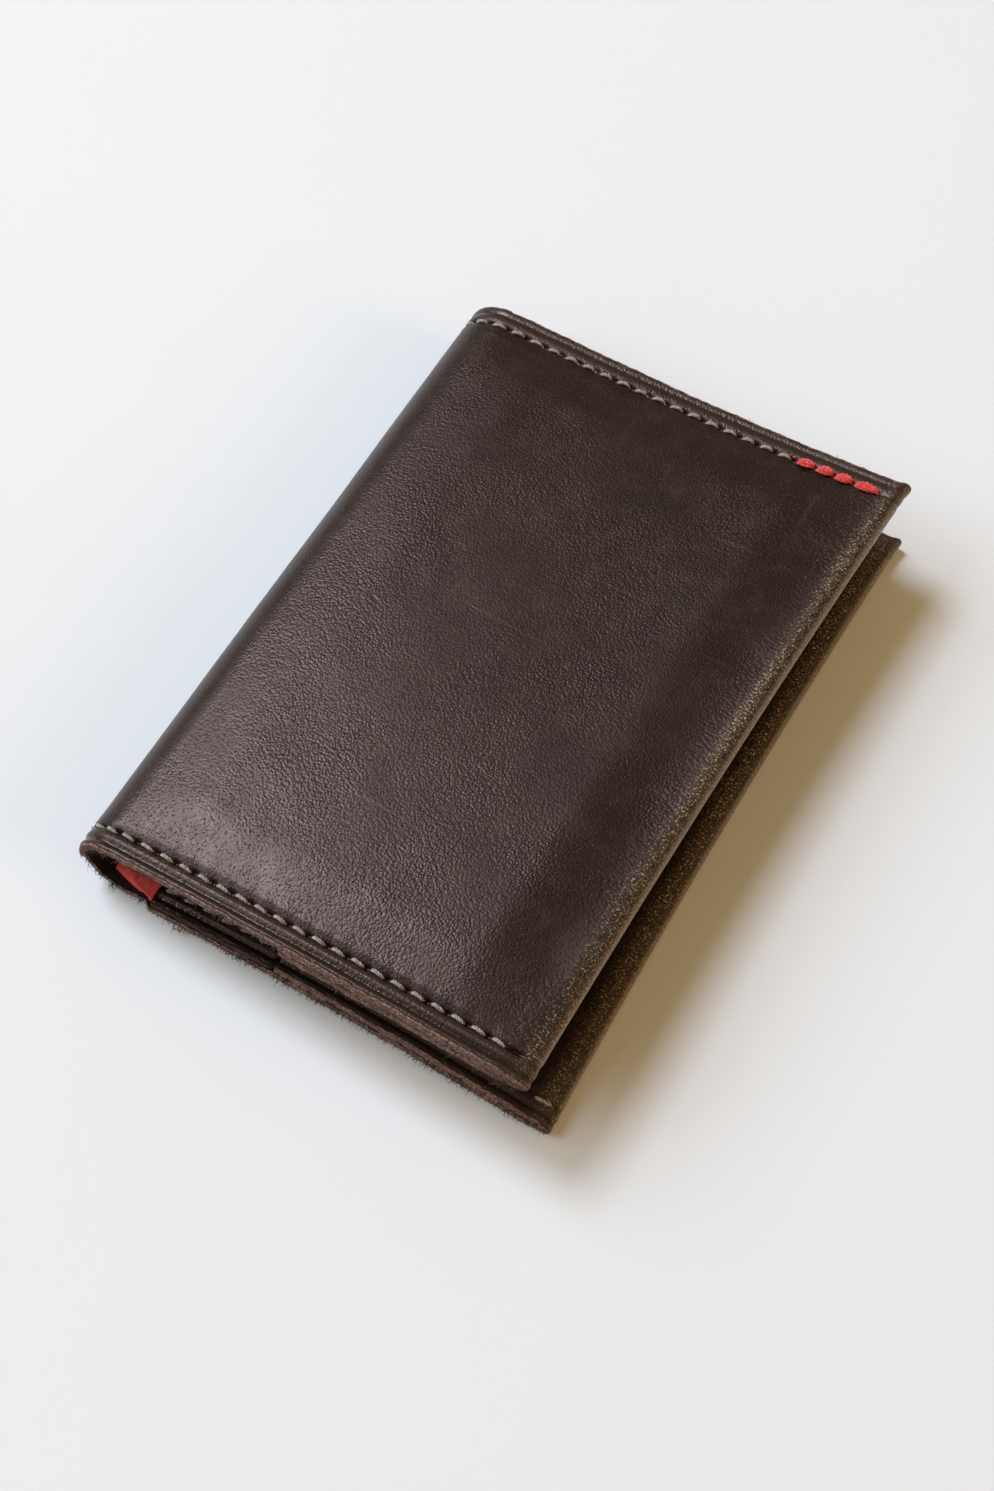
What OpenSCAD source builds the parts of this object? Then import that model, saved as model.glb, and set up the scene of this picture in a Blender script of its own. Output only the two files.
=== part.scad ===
// Folding leather case for business cards. One strip of leather makes the
// front, the spine and the back; its two ends are turned inward to make the
// inner flaps. It lies on its back with the spine along Y, the front above.

/* [Case] */
// Height of the case, along the spine
case_h = 104.4; // [96:0.2:116]
// Width of the closed case, from the spine to the free edge of the back
case_w = 73.4; // [68:0.2:80]
// How far the front's free edge stops short of the back's
front_short = 2; // [0:0.5:5]
// Thickness of the outer leather
leather_t = 1.3; // [1:0.1:1.6]

/* [Spine] */
// Outer radius of the bend at the spine
spine_r = 6.4; // [5.6:0.05:8]
// Angle at which the front springs away from the back
open_deg = 4.4; // [2:0.1:8]
// Width of the slit at each bending line of the spine
crease_gap = 0.24; // [0.16:0.02:0.5]

/* [Pockets] */
// Depth of the back's turned flap, from the free edge to its mouth
back_flap_w = 42.5; // [36:0.1:46]
// Depth of the front's turned flap, from the free edge to its mouth
front_flap_w = 37; // [34:0.1:46]
// Height that the back's flap stands proud in the middle
back_rise = 1.6; // [1.4:0.1:1.8]
// Height that the front's flap stands proud in the middle
front_rise = 1; // [0.6:0.1:1.4]
// Thickness of the T-shaped pocket's leather
pocket_t = 1; // [0.8:0.1:1.1]
// Where the T-shaped pocket's mouth lies, from the start of the spine bend
pocket_mouth_x = 4.3; // [3:0.1:8]
// Height that the T-shaped pocket stands proud in the middle
pocket_rise = 0.5; // [0.3:0.1:0.6]
// Width of the T-shaped pocket's stem
stem_h = 80; // [64:1:81]
// Length of the stem beyond the crossbar
stem_w = 31; // [20:1:33]

/* [Stitching] */
// Distance from one stitch to the next
pitch = 3; // [2.8:0.1:4]
// Distance from the cut edge to the seam line
seam_inset = 3.2; // [2.8:0.1:4]
// Thickness of the sewing thread
thread_d = 0.64; // [0.5:0.02:0.66]
// Length of one stitch that shows
stitch_l = 2.1; // [1.6:0.1:2.4]
// Number of thick accent stitches at the end of the front's far seam
accent_count = 4; // [2:1:5]

/* [Tag] */
// Width of the ribbon of the tag loop
tag_w = 5; // [4:0.5:8]
// How far the tag loop stands out of the pocket's mouth
tag_l = 5.2; // [3.4:0.1:5.2]
// Thickness of the ribbon
tag_t = 0.5; // [0.4:0.05:0.6]

/* [Hidden] */
$fn = 96;

brown = [0.26, 0.20, 0.18];
brown_inner = [0.30, 0.22, 0.19];
grey_thread = [0.47, 0.43, 0.40];
red = [0.80, 0.17, 0.15];

// The bend's axis is the working origin. The back's outer face is at
// -spine_r and the front's at +spine_r.
back_l = case_w - spine_r;              // from the bend's axis to the back's free edge
front_l = back_l - front_short;         // the same for the front
axis_x = -(back_l - spine_r) / 2;       // the bend's axis in the case's frame
half_h = case_h / 2;
b = (180 - open_deg) / 4;               // half the angle that each bending line turns through
mid_deg = 180 + open_deg / 2;           // direction of the middle of the spine
fold_ro = leather_t + 0.05;             // outer radius of the turned edge
fold_ri = 0.05;
lift = 2 * fold_ri;                     // how far a flap lies above its panel
gap_deg = crease_gap / 2 / (spine_r - leather_t) * 180 / PI;
groove_d = 0.7;
groove_w = 0.8;
seam_y = half_h - seam_inset;
seam_end = 3.5;                         // from the seam's last hole to the free edge
inner_x0 = back_l - back_flap_w;        // mouth of the back's flap
front_x0 = front_l - front_flap_w;      // mouth of the front's flap
bar_w = inner_x0 - pocket_mouth_x - 0.3; // width of the T's crossbar
spine_pitch = pitch / spine_r * 180 / PI;
eps = 0.01;

// Places working coordinates in the case's frame.
module in_case() translate([axis_x, 0, spine_r]) children();

// Turns a half that is modelled as a back over to make a front, then
// springs it open.
module as_front() in_case() rotate([0, -open_deg, 0]) mirror([0, 0, 1]) children();

// A block given by its low and high corners.
module block(lo, hi) translate(lo) cube([hi[0] - lo[0], hi[1] - lo[1], hi[2] - lo[2]]);

// A stretch of a tube about the Y axis, from angle a0 to a1 in the XZ plane.
module bend(r0, r1, a0, a1, y0, y1)
    rotate([90, 0, 0])
        rotate([0, 0, a0])
            rotate_extrude(angle = a1 - a0)
                translate([r0, -y1]) square([r1 - r0, y1 - y0]);

// A low mound with sloping sides: x0 to x1 at its foot, open at x0.
module mound(x0, x1, hy, z0, rise, slope)
    intersection() {
        translate([x0, 0, 0]) rotate([90, 0, 90]) linear_extrude(x1 - x0)
            polygon([[-hy, z0 - eps], [hy, z0 - eps], [hy, z0], [hy - slope, z0 + rise],
                     [-hy + slope, z0 + rise], [-hy, z0]]);
        translate([0, hy, 0]) rotate([90, 0, 0]) linear_extrude(2 * hy)
            polygon([[x0, z0 - eps], [x1, z0 - eps], [x1, z0], [x1 - slope, z0 + rise],
                     [x0, z0 + rise]]);
    }

// The panel's share of the spine bend: a tube cut off at x = 0, where the
// flat panel starts, and at the bending line.
module bend_share()
    difference() {
        rotate([90, 0, 0]) cylinder(h = case_h, r = spine_r, center = true);
        rotate([90, 0, 0]) cylinder(h = case_h + 2, r = spine_r - leather_t, center = true);
        block([0, -case_h, -2 * spine_r], [2 * spine_r, case_h, 2 * spine_r]);
        rotate([0, b - gap_deg - 180, 0])
            block([0, -case_h, -2 * spine_r], [2 * spine_r, case_h, 2 * spine_r]);
    }

// Outer panel of length l with its share of the spine bend, and the grooves
// of its two seams.
module panel(l) {
    z = -spine_r;
    difference() {
        union() {
            block([0, -half_h, z], [l - fold_ro, half_h, z + leather_t]);
            bend_share();
        }
        for (s = [-1, 1]) {
            y = s * seam_y;
            block([0.4, y - groove_w / 2, z - 1], [l - seam_end, y + groove_w / 2, z + groove_d]);
            bend(spine_r - groove_d, spine_r + 1, 270 - b - 3, 264, y - groove_w / 2, y + groove_w / 2);
        }
    }
}

// Turned edge and the flap that it makes: l is the panel's length, w the
// flap's depth.
module turned_flap(l, w, rise) {
    z = -spine_r;
    x0 = l - w;
    x1 = l - fold_ro;
    zi = z + leather_t + lift;
    difference() {
        union() {
            bend_at(x1, z + fold_ro);
            block([x0, -half_h, zi], [x1, half_h, zi + leather_t]);
            mound(x0, x1 - 3, half_h - 5.5, zi + leather_t, rise, 6);
        }
        mound(x0 - 1, x1 - 3, half_h - 5.5, zi, rise, 6);
    }
}

module bend_at(x, z)
    translate([x, 0, z]) bend(fold_ri, fold_ro, -90, 90, -half_h, half_h);

// One stitch that lies along X.
module stitch(x, y, z, len = stitch_l, d = thread_d)
    translate([x - len / 2, y, z]) rotate([0, 90, 0]) cylinder(h = len, d = d, $fn = 24);

// The stitches of one straight seam: the runs outside in their groove, and
// the runs on the inner leather, which lies at height z_in(x).
module seam(l, y, step_x, z_low, z_high, last = 0) {
    z = -spine_r;
    n = floor((l - seam_end - 0.4) / pitch);
    x_end = l - seam_end;
    for (i = [0 : n - 1]) {
        x = x_end - pitch * (i + 0.5);
        if (i >= last) stitch(x, y, z + thread_d / 2 + 0.03);
        xi = x - pitch / 2;
        if (xi - stitch_l / 2 > step_x + 0.2) stitch(xi, y, z + z_high + thread_d / 2);
        else if (xi + stitch_l / 2 < step_x - 0.2 && xi - stitch_l / 2 > pocket_mouth_x + 0.2 && z_low > 0)
            stitch(xi, y, z + z_low + thread_d / 2);
    }
    // one stitch on the panel's share of the bend
    rotate([0, -(mid_deg + 2 * spine_pitch - 270), 0])
        stitch(0, y, -spine_r + thread_d / 2 + 0.06, len = stitch_l - 0.3);
}

module back_panel() color(brown) in_case() panel(back_l);

module back_turned_flap() color(brown_inner) in_case() turned_flap(back_l, back_flap_w, back_rise);

// T-shaped card pocket: its crossbar is sewn in at both ends, and its stem
// runs on beneath the back's flap.
module t_pocket() color(brown_inner) in_case() {
    z = -spine_r + leather_t;
    x0 = pocket_mouth_x;
    x1 = x0 + bar_w;
    hy = stem_h / 2;
    difference() {
        union() {
            block([x0, -half_h, z], [x1, half_h, z + pocket_t]);
            mound(x0, x1 + 20, hy + 6, z + pocket_t, pocket_rise, 6);
            block([x1 - 1, -hy, z + pocket_rise], [x1 + stem_w, hy, z + pocket_rise + pocket_t]);
        }
        // room for cards beneath
        mound(x0 - 1, x1 + 20, hy + 6, z, pocket_rise, 6);
        // the crossbar's mound stops at the stem
        for (s = [-1, 1])
            block([x1, min(s * hy, s * (half_h + 1)), z - 1], [x1 + 21, max(s * hy, s * (half_h + 1)), z + 9]);
        block([x1, -hy - 1, z + pocket_rise + pocket_t], [x1 + 21, hy + 1, z + 9]);
        block([x1, -hy - 1, z - 1], [x1 + 21, hy + 1, z + pocket_rise]);
        // where the tag's tails are sewn in
        block([x0 - 1, -half_h - 1, z - eps], [x0 + 3.6, -half_h + 0.4 + tag_w + 0.1, z + tag_t + 0.02]);
    }
}

module back_near_seam() color(grey_thread) in_case()
    seam(back_l, -seam_y, inner_x0, leather_t + pocket_t, leather_t * 2 + lift);

module back_far_seam() color(grey_thread) in_case()
    seam(back_l, seam_y, inner_x0, leather_t + pocket_t, leather_t * 2 + lift);

// Ribbon folded into a loop: its tails lie beneath the pocket's corner.
module tag_loop() color(red) in_case() {
    z = -spine_r + leather_t;
    y0 = -half_h + 0.4;
    y1 = y0 + tag_w;
    r = 0.95;
    x1 = pocket_mouth_x;
    xf = x1 - tag_l + r;
    // lower leaf, with the tail
    block([xf, y0, z], [x1 + 3.5, y1, z + tag_t]);
    // the fold
    translate([xf, 0, z + r]) bend(r - tag_t, r, 90, 270, y0, y1);
    // upper leaf
    block([xf, y0, z + 2 * r - tag_t], [x1 - 0.1, y1, z + 2 * r]);
}

// Middle of the spine, between the two bending lines.
module spine_strip() color(brown) in_case()
    difference() {
        bend(spine_r - leather_t, spine_r, mid_deg - b + gap_deg, mid_deg + b - gap_deg, -half_h, half_h);
        for (s = [-1, 1])
            bend(spine_r - groove_d, spine_r + 1, mid_deg - b - 3, mid_deg + b + 3,
                 s * seam_y - groove_w / 2, s * seam_y + groove_w / 2);
    }

module spine_stitches() color(grey_thread) in_case()
    for (s = [-1, 1]) for (k = [-1 : 1])
        rotate([0, -(mid_deg + k * spine_pitch - 270), 0])
            stitch(0, s * seam_y, -spine_r + thread_d / 2 + 0.06, len = stitch_l - 0.3);

module front_panel() color(brown) as_front() panel(front_l);

module front_turned_flap() color(brown_inner) as_front() turned_flap(front_l, front_flap_w, front_rise);

module front_near_seam() color(grey_thread) as_front()
    seam(front_l, -seam_y, front_x0, 0, leather_t * 2 + lift);

module front_far_seam() color(grey_thread) as_front()
    seam(front_l, seam_y, front_x0, 0, leather_t * 2 + lift, last = accent_count);

module accent_stitches() color(red) as_front()
    for (i = [0 : accent_count - 1])
        stitch(front_l - seam_end - pitch * (i + 0.5), seam_y, -spine_r + 0.3, len = 2.6, d = 0.78);

back_panel();
back_turned_flap();
t_pocket();
back_near_seam();
back_far_seam();
tag_loop();
spine_strip();
spine_stitches();
front_panel();
front_turned_flap();
front_near_seam();
front_far_seam();
accent_stitches();
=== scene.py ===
import math

import bpy
import numpy as np
from mathutils import Matrix, Vector


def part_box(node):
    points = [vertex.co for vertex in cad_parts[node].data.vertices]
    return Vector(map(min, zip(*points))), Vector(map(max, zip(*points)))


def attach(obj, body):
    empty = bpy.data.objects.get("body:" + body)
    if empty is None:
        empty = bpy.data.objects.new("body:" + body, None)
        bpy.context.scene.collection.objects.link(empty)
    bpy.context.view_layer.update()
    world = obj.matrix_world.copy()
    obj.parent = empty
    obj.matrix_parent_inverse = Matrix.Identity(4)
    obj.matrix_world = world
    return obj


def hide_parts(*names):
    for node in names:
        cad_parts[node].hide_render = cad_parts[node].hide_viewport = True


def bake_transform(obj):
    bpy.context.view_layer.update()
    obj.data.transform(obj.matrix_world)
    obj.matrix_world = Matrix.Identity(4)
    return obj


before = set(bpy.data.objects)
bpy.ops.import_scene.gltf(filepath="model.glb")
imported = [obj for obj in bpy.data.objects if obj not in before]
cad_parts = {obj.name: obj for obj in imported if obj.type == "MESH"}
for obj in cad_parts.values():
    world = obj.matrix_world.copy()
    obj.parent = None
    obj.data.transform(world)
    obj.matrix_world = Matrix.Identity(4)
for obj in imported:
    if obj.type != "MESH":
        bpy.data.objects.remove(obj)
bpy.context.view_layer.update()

scn = bpy.context.scene

# ---------------------------------------------------------------- sizes, in mm
# Working coordinates: x from the axis of the spine bend towards the free
# edges, y from the near end, z up from the table.
lo_b, hi_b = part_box("back_panel")
AX = hi_b.x * 1000 - 65.65               # where the bend's axis lies in the row frame
H = 104.2                                # along the spine
YC = H / 2
T = 1.3                                  # thickness of the leather
EPS = 0.03
TH = 2 * T + 2 * EPS                     # two layers
LB, LF = 66.96, 65.06                    # free edges of the back and the front
R0, R1 = 6.415, 6.541                    # outer radius of the spine, near and far
XB0, XF0 = 24.5, 28.0                    # mouths of the turned flaps
XP0, XP1 = 4.3, 24.25                    # crossbar of the T-shaped pocket
MID = math.radians(182.2)                # the middle of the spine
SKEW, DY = -0.0225, 0.403                # the front lies a little skew on the back
PITCH_N, PITCH_F = 3.005, 2.967
YS = 3.17                                # seam line from the cut edge
TAN_F = math.tan(math.radians(4.655))


def row(p):
    """Working mm to the row frame in metres."""
    p = np.asarray(p, float)
    return (p + np.array([AX, -YC, 0.0])) * 0.001


def sstep(a, b, x):
    t = np.clip((np.asarray(x, float) - a) / (b - a), 0, 1)
    return t * t * (3 - 2 * t)


def gauss(x, c, s):
    return np.exp(-((np.asarray(x, float) - c) / s) ** 2)


# ---------------------------------------------------------------- value noise
def _hash(ix, iy, seed):
    n = (np.asarray(ix).astype(np.int64) * 374761393 + np.asarray(iy).astype(np.int64) * 668265263 + seed * 144269) & 0xFFFFFFFF
    n = ((n ^ (n >> 13)) * 1274126177) & 0xFFFFFFFF
    n = ((n ^ (n >> 15)) * 1103515245) & 0xFFFFFFFF
    return ((n ^ (n >> 16)) & 0xFFFFFF) / float(0xFFFFFF)


def vnoise(x, y, seed=0):
    """Smooth noise from -1 to 1."""
    x, y = np.broadcast_arrays(np.asarray(x, float), np.asarray(y, float))
    xi, yi = np.floor(x), np.floor(y)
    fx, fy = x - xi, y - yi
    fx, fy = fx * fx * (3 - 2 * fx), fy * fy * (3 - 2 * fy)
    a, b = _hash(xi, yi, seed), _hash(xi + 1, yi, seed)
    c, d = _hash(xi, yi + 1, seed), _hash(xi + 1, yi + 1, seed)
    return 2 * (a * (1 - fx) * (1 - fy) + b * fx * (1 - fy) + c * (1 - fx) * fy + d * fx * fy) - 1


def fbm(x, y, seed=0, octaves=3):
    v, a, s = 0.0, 1.0, 0.0
    for k in range(octaves):
        v = v + a * vnoise(np.asarray(x) * 2 ** k, np.asarray(y) * 2 ** k, seed + 17 * k)
        s += a
        a *= 0.5
    return v / s


# ---------------------------------------------------------------- seams
def radius(y):
    v = np.asarray(y, float) / H
    return R0 * (1 - v) + R1 * v


S_ARC = 6.45 * (math.radians(270) - MID)     # from the middle of the spine to where the panels start
holes = {                                    # hole positions along the strip from the middle of the spine
    "front_near": np.array([0.0, 2.1, 4.2] + [S_ARC + 60.5 - PITCH_N * j for j in range(21, -1, -1)]),
    "front_far": np.array([0.0, 2.45, S_ARC + 60.33 - PITCH_F * 22] + [S_ARC + 60.33 - PITCH_F * j for j in range(21, -1, -1)]),
    "back_near": np.array([0.0, 2.8, 5.6] + [S_ARC + 64.74 - 3.0 * j for j in range(22, -1, -1)]),
    "back_far": np.array([0.0, 2.8, 5.6] + [S_ARC + 61.6 - 3.0 * j for j in range(21, -1, -1)]),
}


def relief(s, y, hn, hf, fade, puff):
    """Height of the grain side over the plain surface: pressed edge line, seam valley, holes, and the
    padded panel inside the seams. fade is 0 to 1 where the panel may rise."""
    out = np.zeros(np.broadcast(s, y).shape)
    for d, hs, sd in ((y, hn, 3), (H - y, hf, 5)):
        w1 = 1.25 + 0.07 * vnoise(s / 9.0, 0.5, sd)
        k_ = 1.0 if sd == 3 else 0.42              # the far line is pressed less
        out += -0.20 * gauss(d, -0.02, 0.26) * k_
        out += k_ * (0.05 * gauss(d, w1 - 0.72, 0.30) - 0.26 * gauss(d, w1, 0.36) + 0.09 * gauss(d, w1 + 0.78, 0.34))
        out += -0.20 * gauss(d, YS, 0.40) * (0.8 + 0.2 * vnoise(s / 2.1, 1.5, sd + 1))
        if hs is not None:
            k = np.abs(np.asarray(s)[..., None] - hs[None, None, :]).min(-1) if np.ndim(s) == 2 else None
            if k is not None:
                out += -0.55 * np.exp(-(k / 0.62) ** 2) * gauss(d, YS, 0.30)
                out += 0.05 * (1 - np.exp(-(k / 0.8) ** 2)) * gauss(d, YS + 1.2, 0.8)
    d = np.where(y < H / 2, y, H - y - 0.55)
    out += fade * puff * (0.36 * sstep(YS + 0.22, YS + 1.5, d) + 0.64 * sstep(YS + 0.6, YS + 9.0, d))
    return out


# ---------------------------------------------------------------- grids
def rows_y():
    e = [0, .08, .18, .3, .44, .6, .76, .92, 1.06, 1.2, 1.34, 1.5, 1.68, 1.88, 2.1, 2.35, 2.58, 2.78,
         2.92, 3.05, 3.17, 3.29, 3.42, 3.56, 3.74, 3.95, 4.2, 4.5, 4.85, 5.3, 5.85, 6.5, 7.3, 8.2, 9.2, 10.4, 11.8]
    e = np.array(e)
    n = int(round((H - 2 * 13.3) / 1.55))
    return np.concatenate([e, np.linspace(13.3, H - 13.3, n), (H - e)[::-1]])


YR = rows_y()


def around(marks, a, b, fine=0.24, coarse=0.52, reach=0.62):
    """Stations from a to b, closer together near the marks."""
    s, out = a, [a]
    marks = np.sort(np.asarray(marks))
    while s < b - 1e-9:
        k = np.abs(marks - s).min() if len(marks) else 9
        s += fine if k < reach else min(coarse, max(fine, k - reach + 0.02))
        out.append(s)
    out = np.array(out)
    out = a + (out - a) * (b - a) / (out[-1] - a)
    return out


NOSE_A = 5.4                                  # stretch of the turned edge, from full thickness to its tip


def nose_len_at(y):
    """Length over which the turned edge closes: long and thin at the near end, blunter beyond."""
    return 3.1 + 2.3 * np.exp(-(np.asarray(y, float) / 11.0) ** 2) - 1.5 * (np.asarray(y, float) / H)


# mask for the painted shade in the stitch holes
def hole_shade_mask(s, y, hn, hf, wid=0.62):
    out = np.zeros(s.shape)
    for d, hs in ((y, hn), (H - y, hf)):
        k = np.abs(s[..., None] - hs[None, None, :]).min(-1)
        out = np.maximum(out, np.exp(-(k / wid) ** 2) * gauss(d, YS, 0.34))
    return out


NOSE_N = 2.25


def nose_profile(n):
    """Angle, share along the nose (0 where it starts, 1 at the tip) and share of the half thickness."""
    psi = np.linspace(math.pi / 2, -math.pi / 2, n)
    c, s = np.abs(np.cos(psi)), np.sin(psi)
    return psi, c ** (2 / NOSE_N), np.sign(s) * np.abs(s) ** (2 / NOSE_N)


def front_top(x, y):
    """Height of the closed front's outer face."""
    v = y / H
    u = np.clip(x / LF, 0, 1.02)
    return (2 * radius(y) + x * TAN_F - v * 0.578 * u + 4 * u * (1 - u) * ((1 - v) * 0.757 - v * 1.203)
            + v * 0.245 * u * (1 - u) * (1 - 2 * u) * 6)


def back_bottom(x, y):
    """Height of the back's outer face. Its near edge lifts a little off the table."""
    u = np.clip(x / LB, 0, 1)
    z = 0.95 * 4 * u * (1 - u) * np.exp(-(y / 8.5) ** 2)
    z = z + 0.35 * 4 * u * (1 - u) * np.exp(-((H - y) / 9.0) ** 2)
    z = z + 0.5 * np.exp(-(y / 7.0) ** 2) * sstep(-4.5, -0.5, x) * (1 - sstep(3.6, 4.4, x))
    return z + 0.03


def plan(side, s_from_mid, x, y):
    """Plan position of a point: bowed edges, the front's skew, and the notch in the near edge at the spine."""
    v = y / H
    if side == "front":
        g = sstep(0, S_ARC + 8, s_from_mid)
        k = 0.5 + 0.5 * sstep(0, S_ARC + 4, s_from_mid)
        u = np.clip(x / LF, 0, 1)
        X = x - SKEW * (y - H / 2) * g - 0.65 * 4 * v * (1 - v) * u ** 3
        Y = y + (DY + SKEW * x) * k
    else:
        k = 0.5 * (1 - sstep(0, S_ARC, s_from_mid))
        u = np.clip(x / LB, 0, 1)
        X = x - 0.85 * 4 * v * (1 - v) * u ** 3
        Y = y + (DY - SKEW * 6.4) * k
        Y = Y + 0.42 * np.exp(-(y / 9.0) ** 2) * (1 - sstep(3.7, 4.4, x))
        Y = Y + 0.5 * 4 * u * (1 - u) * (1 - v) ** 5
    return X, Y


def half_grids(side):
    """Grain and flesh grids of one half of the strip, from the middle of the spine round the turned edge to
    the mouth of the flap. Returns the grids, the position along the strip, and masks."""
    L = LB if side == "back" else LF
    x0 = XB0 if side == "back" else XF0
    hn, hf = holes[side + "_near"], holes[side + "_far"]
    hs_all = np.concatenate([hn, hf])
    s1 = around(hs_all, 0, S_ARC, 0.26, 0.5)
    s2 = around(hs_all, S_ARC, S_ARC + L - NOSE_A)
    nn = 37
    psi, al, ht = nose_profile(nn)
    # where the flap's stations lie, in x, from the nose back to the mouth; the same holes go through it
    xh = np.concatenate([hn, hf]) - S_ARC
    x3 = around(-xh[(xh > x0)], -(L - NOSE_A), -x0, 0.28, 0.6)
    x3 = -x3
    nose_len = 10.6
    s_nose = S_ARC + L - NOSE_A + np.linspace(0, nose_len, nn)
    s3 = s_nose[-1] + (L - NOSE_A) - x3
    s = np.concatenate([s1[:-1], s2, s_nose[1:], s3[1:]])
    n1, n2 = len(s1) - 1, len(s2)
    x = np.concatenate([np.full(n1, np.nan), s2 - S_ARC, (L - NOSE_A + NOSE_A * al)[1:], x3[1:]])
    kind = np.concatenate([np.zeros(n1), np.ones(n2), np.full(nn - 1, 2), np.full(len(x3) - 1, 3)]).astype(int)
    Ns, Ny = len(s), len(YR)
    S = np.repeat(s[:, None], Ny, 1)
    Y = np.repeat(YR[None, :], Ns, 0)
    X = np.zeros((Ns, Ny))
    Z = np.zeros((Ns, Ny))
    FX = np.zeros((Ns, Ny))
    FZ = np.zeros((Ns, Ny))
    Rr = radius(YR)
    up = 1 if side == "front" else -1          # the way the outer face looks
    rise = 1.15 if side == "back" else 0.9

    def outer(xx, yy):
        return front_top(xx, yy) if side == "front" else back_bottom(xx, yy)

    # the bend
    for i in range(n1):
        f = s[i] / S_ARC
        if side == "front":
            slope = (front_top(np.full(Ny, 0.5), YR) - front_top(np.zeros(Ny), YR)) / 0.5
            end = math.pi / 2 + np.arctan(slope)
            ph = MID + (end - MID) * f
        else:
            ph = np.full(Ny, MID + (math.radians(270) - MID) * f)
        X[i] = Rr * np.cos(ph)
        Z[i] = Rr + Rr * np.sin(ph)
        FX[i] = (Rr - T) * np.cos(ph)
        FZ[i] = Rr + (Rr - T) * np.sin(ph)
        if side == "back":
            dz = back_bottom(X[i], YR) - 0.03
            Z[i] += dz + 0.03 * f
            FZ[i] += dz + 0.03 * f
    # the panel: the join with the bend is eased over the first millimetres
    if side == "front":
        slope0 = (front_top(np.full(Ny, 0.5), YR) - front_top(np.zeros(Ny), YR)) / 0.5
        xs0 = -Rr * np.sin(np.arctan(slope0))
        zs0 = Rr + Rr * np.cos(np.arctan(slope0))
    else:
        xs0 = np.zeros(Ny)
        zs0 = np.full(Ny, 0.03)
    ip = np.where(kind == 1)[0]
    for i in ip:
        xx = x[i]
        e = 1 - sstep(0, 9, xx)
        px = xx + xs0 * e
        X[i] = px
        zz = outer(px, YR)
        z00 = outer(xs0, YR)
        Z[i] = zz + (zs0 - z00) * e
        if side == "back":
            Z[i] = zz
        FX[i] = px
        FZ[i] = Z[i] - up * T
    # the turned edge and the flap
    for i in np.where(kind >= 2)[0]:
        xx = np.full(Ny, x[i])
        zo = outer(xx, YR)
        an = nose_len_at(YR)
        q = np.clip((xx - (L - an)) / an, 0, 1)
        zc = zo - up * (TH / 2 + (0.25 if side == "front" else 0.12) * q ** 2)
        X[i] = xx
        if kind[i] == 2:
            j = i - ip[-1]
            Z[i] = zc + up * TH / 2 * np.sign(ht[j]) * (1 - q ** NOSE_N) ** (1 / NOSE_N)
            xin = L - NOSE_A + (NOSE_A - 1.35) * min(1.0, al[j] * 1.02)
            FX[i] = xin + 0.06 * np.cos(psi[j])
            FZ[i] = zc + up * EPS * np.sin(psi[j])
        else:
            d = np.minimum(YR, H - YR)
            m = sstep(4.6, 13, d) * (1 - sstep(L - 17, L - 5.2, xx)) * (1 - 0.25 * gauss(xx, x0, 4.0))
            gap = rise * m
            Z[i] = zc - up * (TH / 2 + gap)
            FX[i] = xx
            FZ[i] = zc - up * (EPS + gap)
    G0 = np.stack(list(plan(side, S, X, Y)) + [Z], -1)
    xq = np.where(kind >= 1, np.nan_to_num(x), -99.0)[:, None]
    nib = sstep(L - 1.7, L - 0.2, xq) * np.exp(-((H - Y) / 0.9) ** 2)
    G0[..., 1] += 0.42 * nib
    G0[..., 0] += 0.22 * nib
    F0 = np.stack(list(plan(side, S, FX, Y)) + [FZ], -1)
    # the edge is cut a little aslant: the lower layer stands out further, and the cut wanders
    lower = np.zeros(Ns)
    lower[kind == 3] = 1
    lower[kind == 2] = 0.5 - 0.5 * np.sin(psi[1:])
    if side == "back":
        lower = np.where(kind == 0, 0.0, 1 - lower)
    for edge_d, sg, amt in ((Y, -1, 0.50 if side == "front" else 0.42), (H - Y, 1, 0.15)):
        near_edge = np.exp(-(edge_d / 2.4) ** 2)
        xf = np.where(kind >= 1, np.nan_to_num(x), -99.0)
        if side == "back":                     # one wandering cut through both layers
            two = sstep(3.7, 4.4, xf)
        else:
            two = sstep(XF0 - 0.6, XF0 + 0.2, xf)
        thin = (1 - 0.55 * sstep(L - 5, L, xf)) * two
        wander = 0.10 * fbm(xf / 1.3, 0.5 + sg, 51 + sg, 3) + 0.10 * vnoise(xf / 5.0, 2.5 + sg, 57)
        wander = np.where(xf > -50, wander, 0.12 * fbm(s / 1.3, 0.5 + sg, 53 + sg, 3)) * 1.0
        w2 = (wander[:, None] + 0.05 * vnoise(S / 0.8, 1.5 + sg, 59)) * np.exp(-(edge_d / 0.9) ** 2)
        G0[..., 1] += sg * ((amt * lower * thin)[:, None] * near_edge + w2)
        F0[..., 1] += sg * ((amt * 0.5 * thin)[:, None] * near_edge + w2)
    # heights of the grain side
    gs = np.gradient(G0, axis=0)
    gy = np.gradient(G0, YR, axis=1)
    N = np.cross(gs, gy)
    N /= np.linalg.norm(N, axis=-1, keepdims=True) + 1e-12
    flip = np.sign(((G0 - F0) * N).sum(-1).mean())
    N *= flip
    sx = S - S_ARC
    fade = sstep(-6, 9, sx) * (1 - sstep(L - 15, L - 4.0, sx))
    fade = np.where(S > S_ARC + L - NOSE_A + nose_len / 2, 0, fade)
    onflap = (kind == 3)[:, None]
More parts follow.
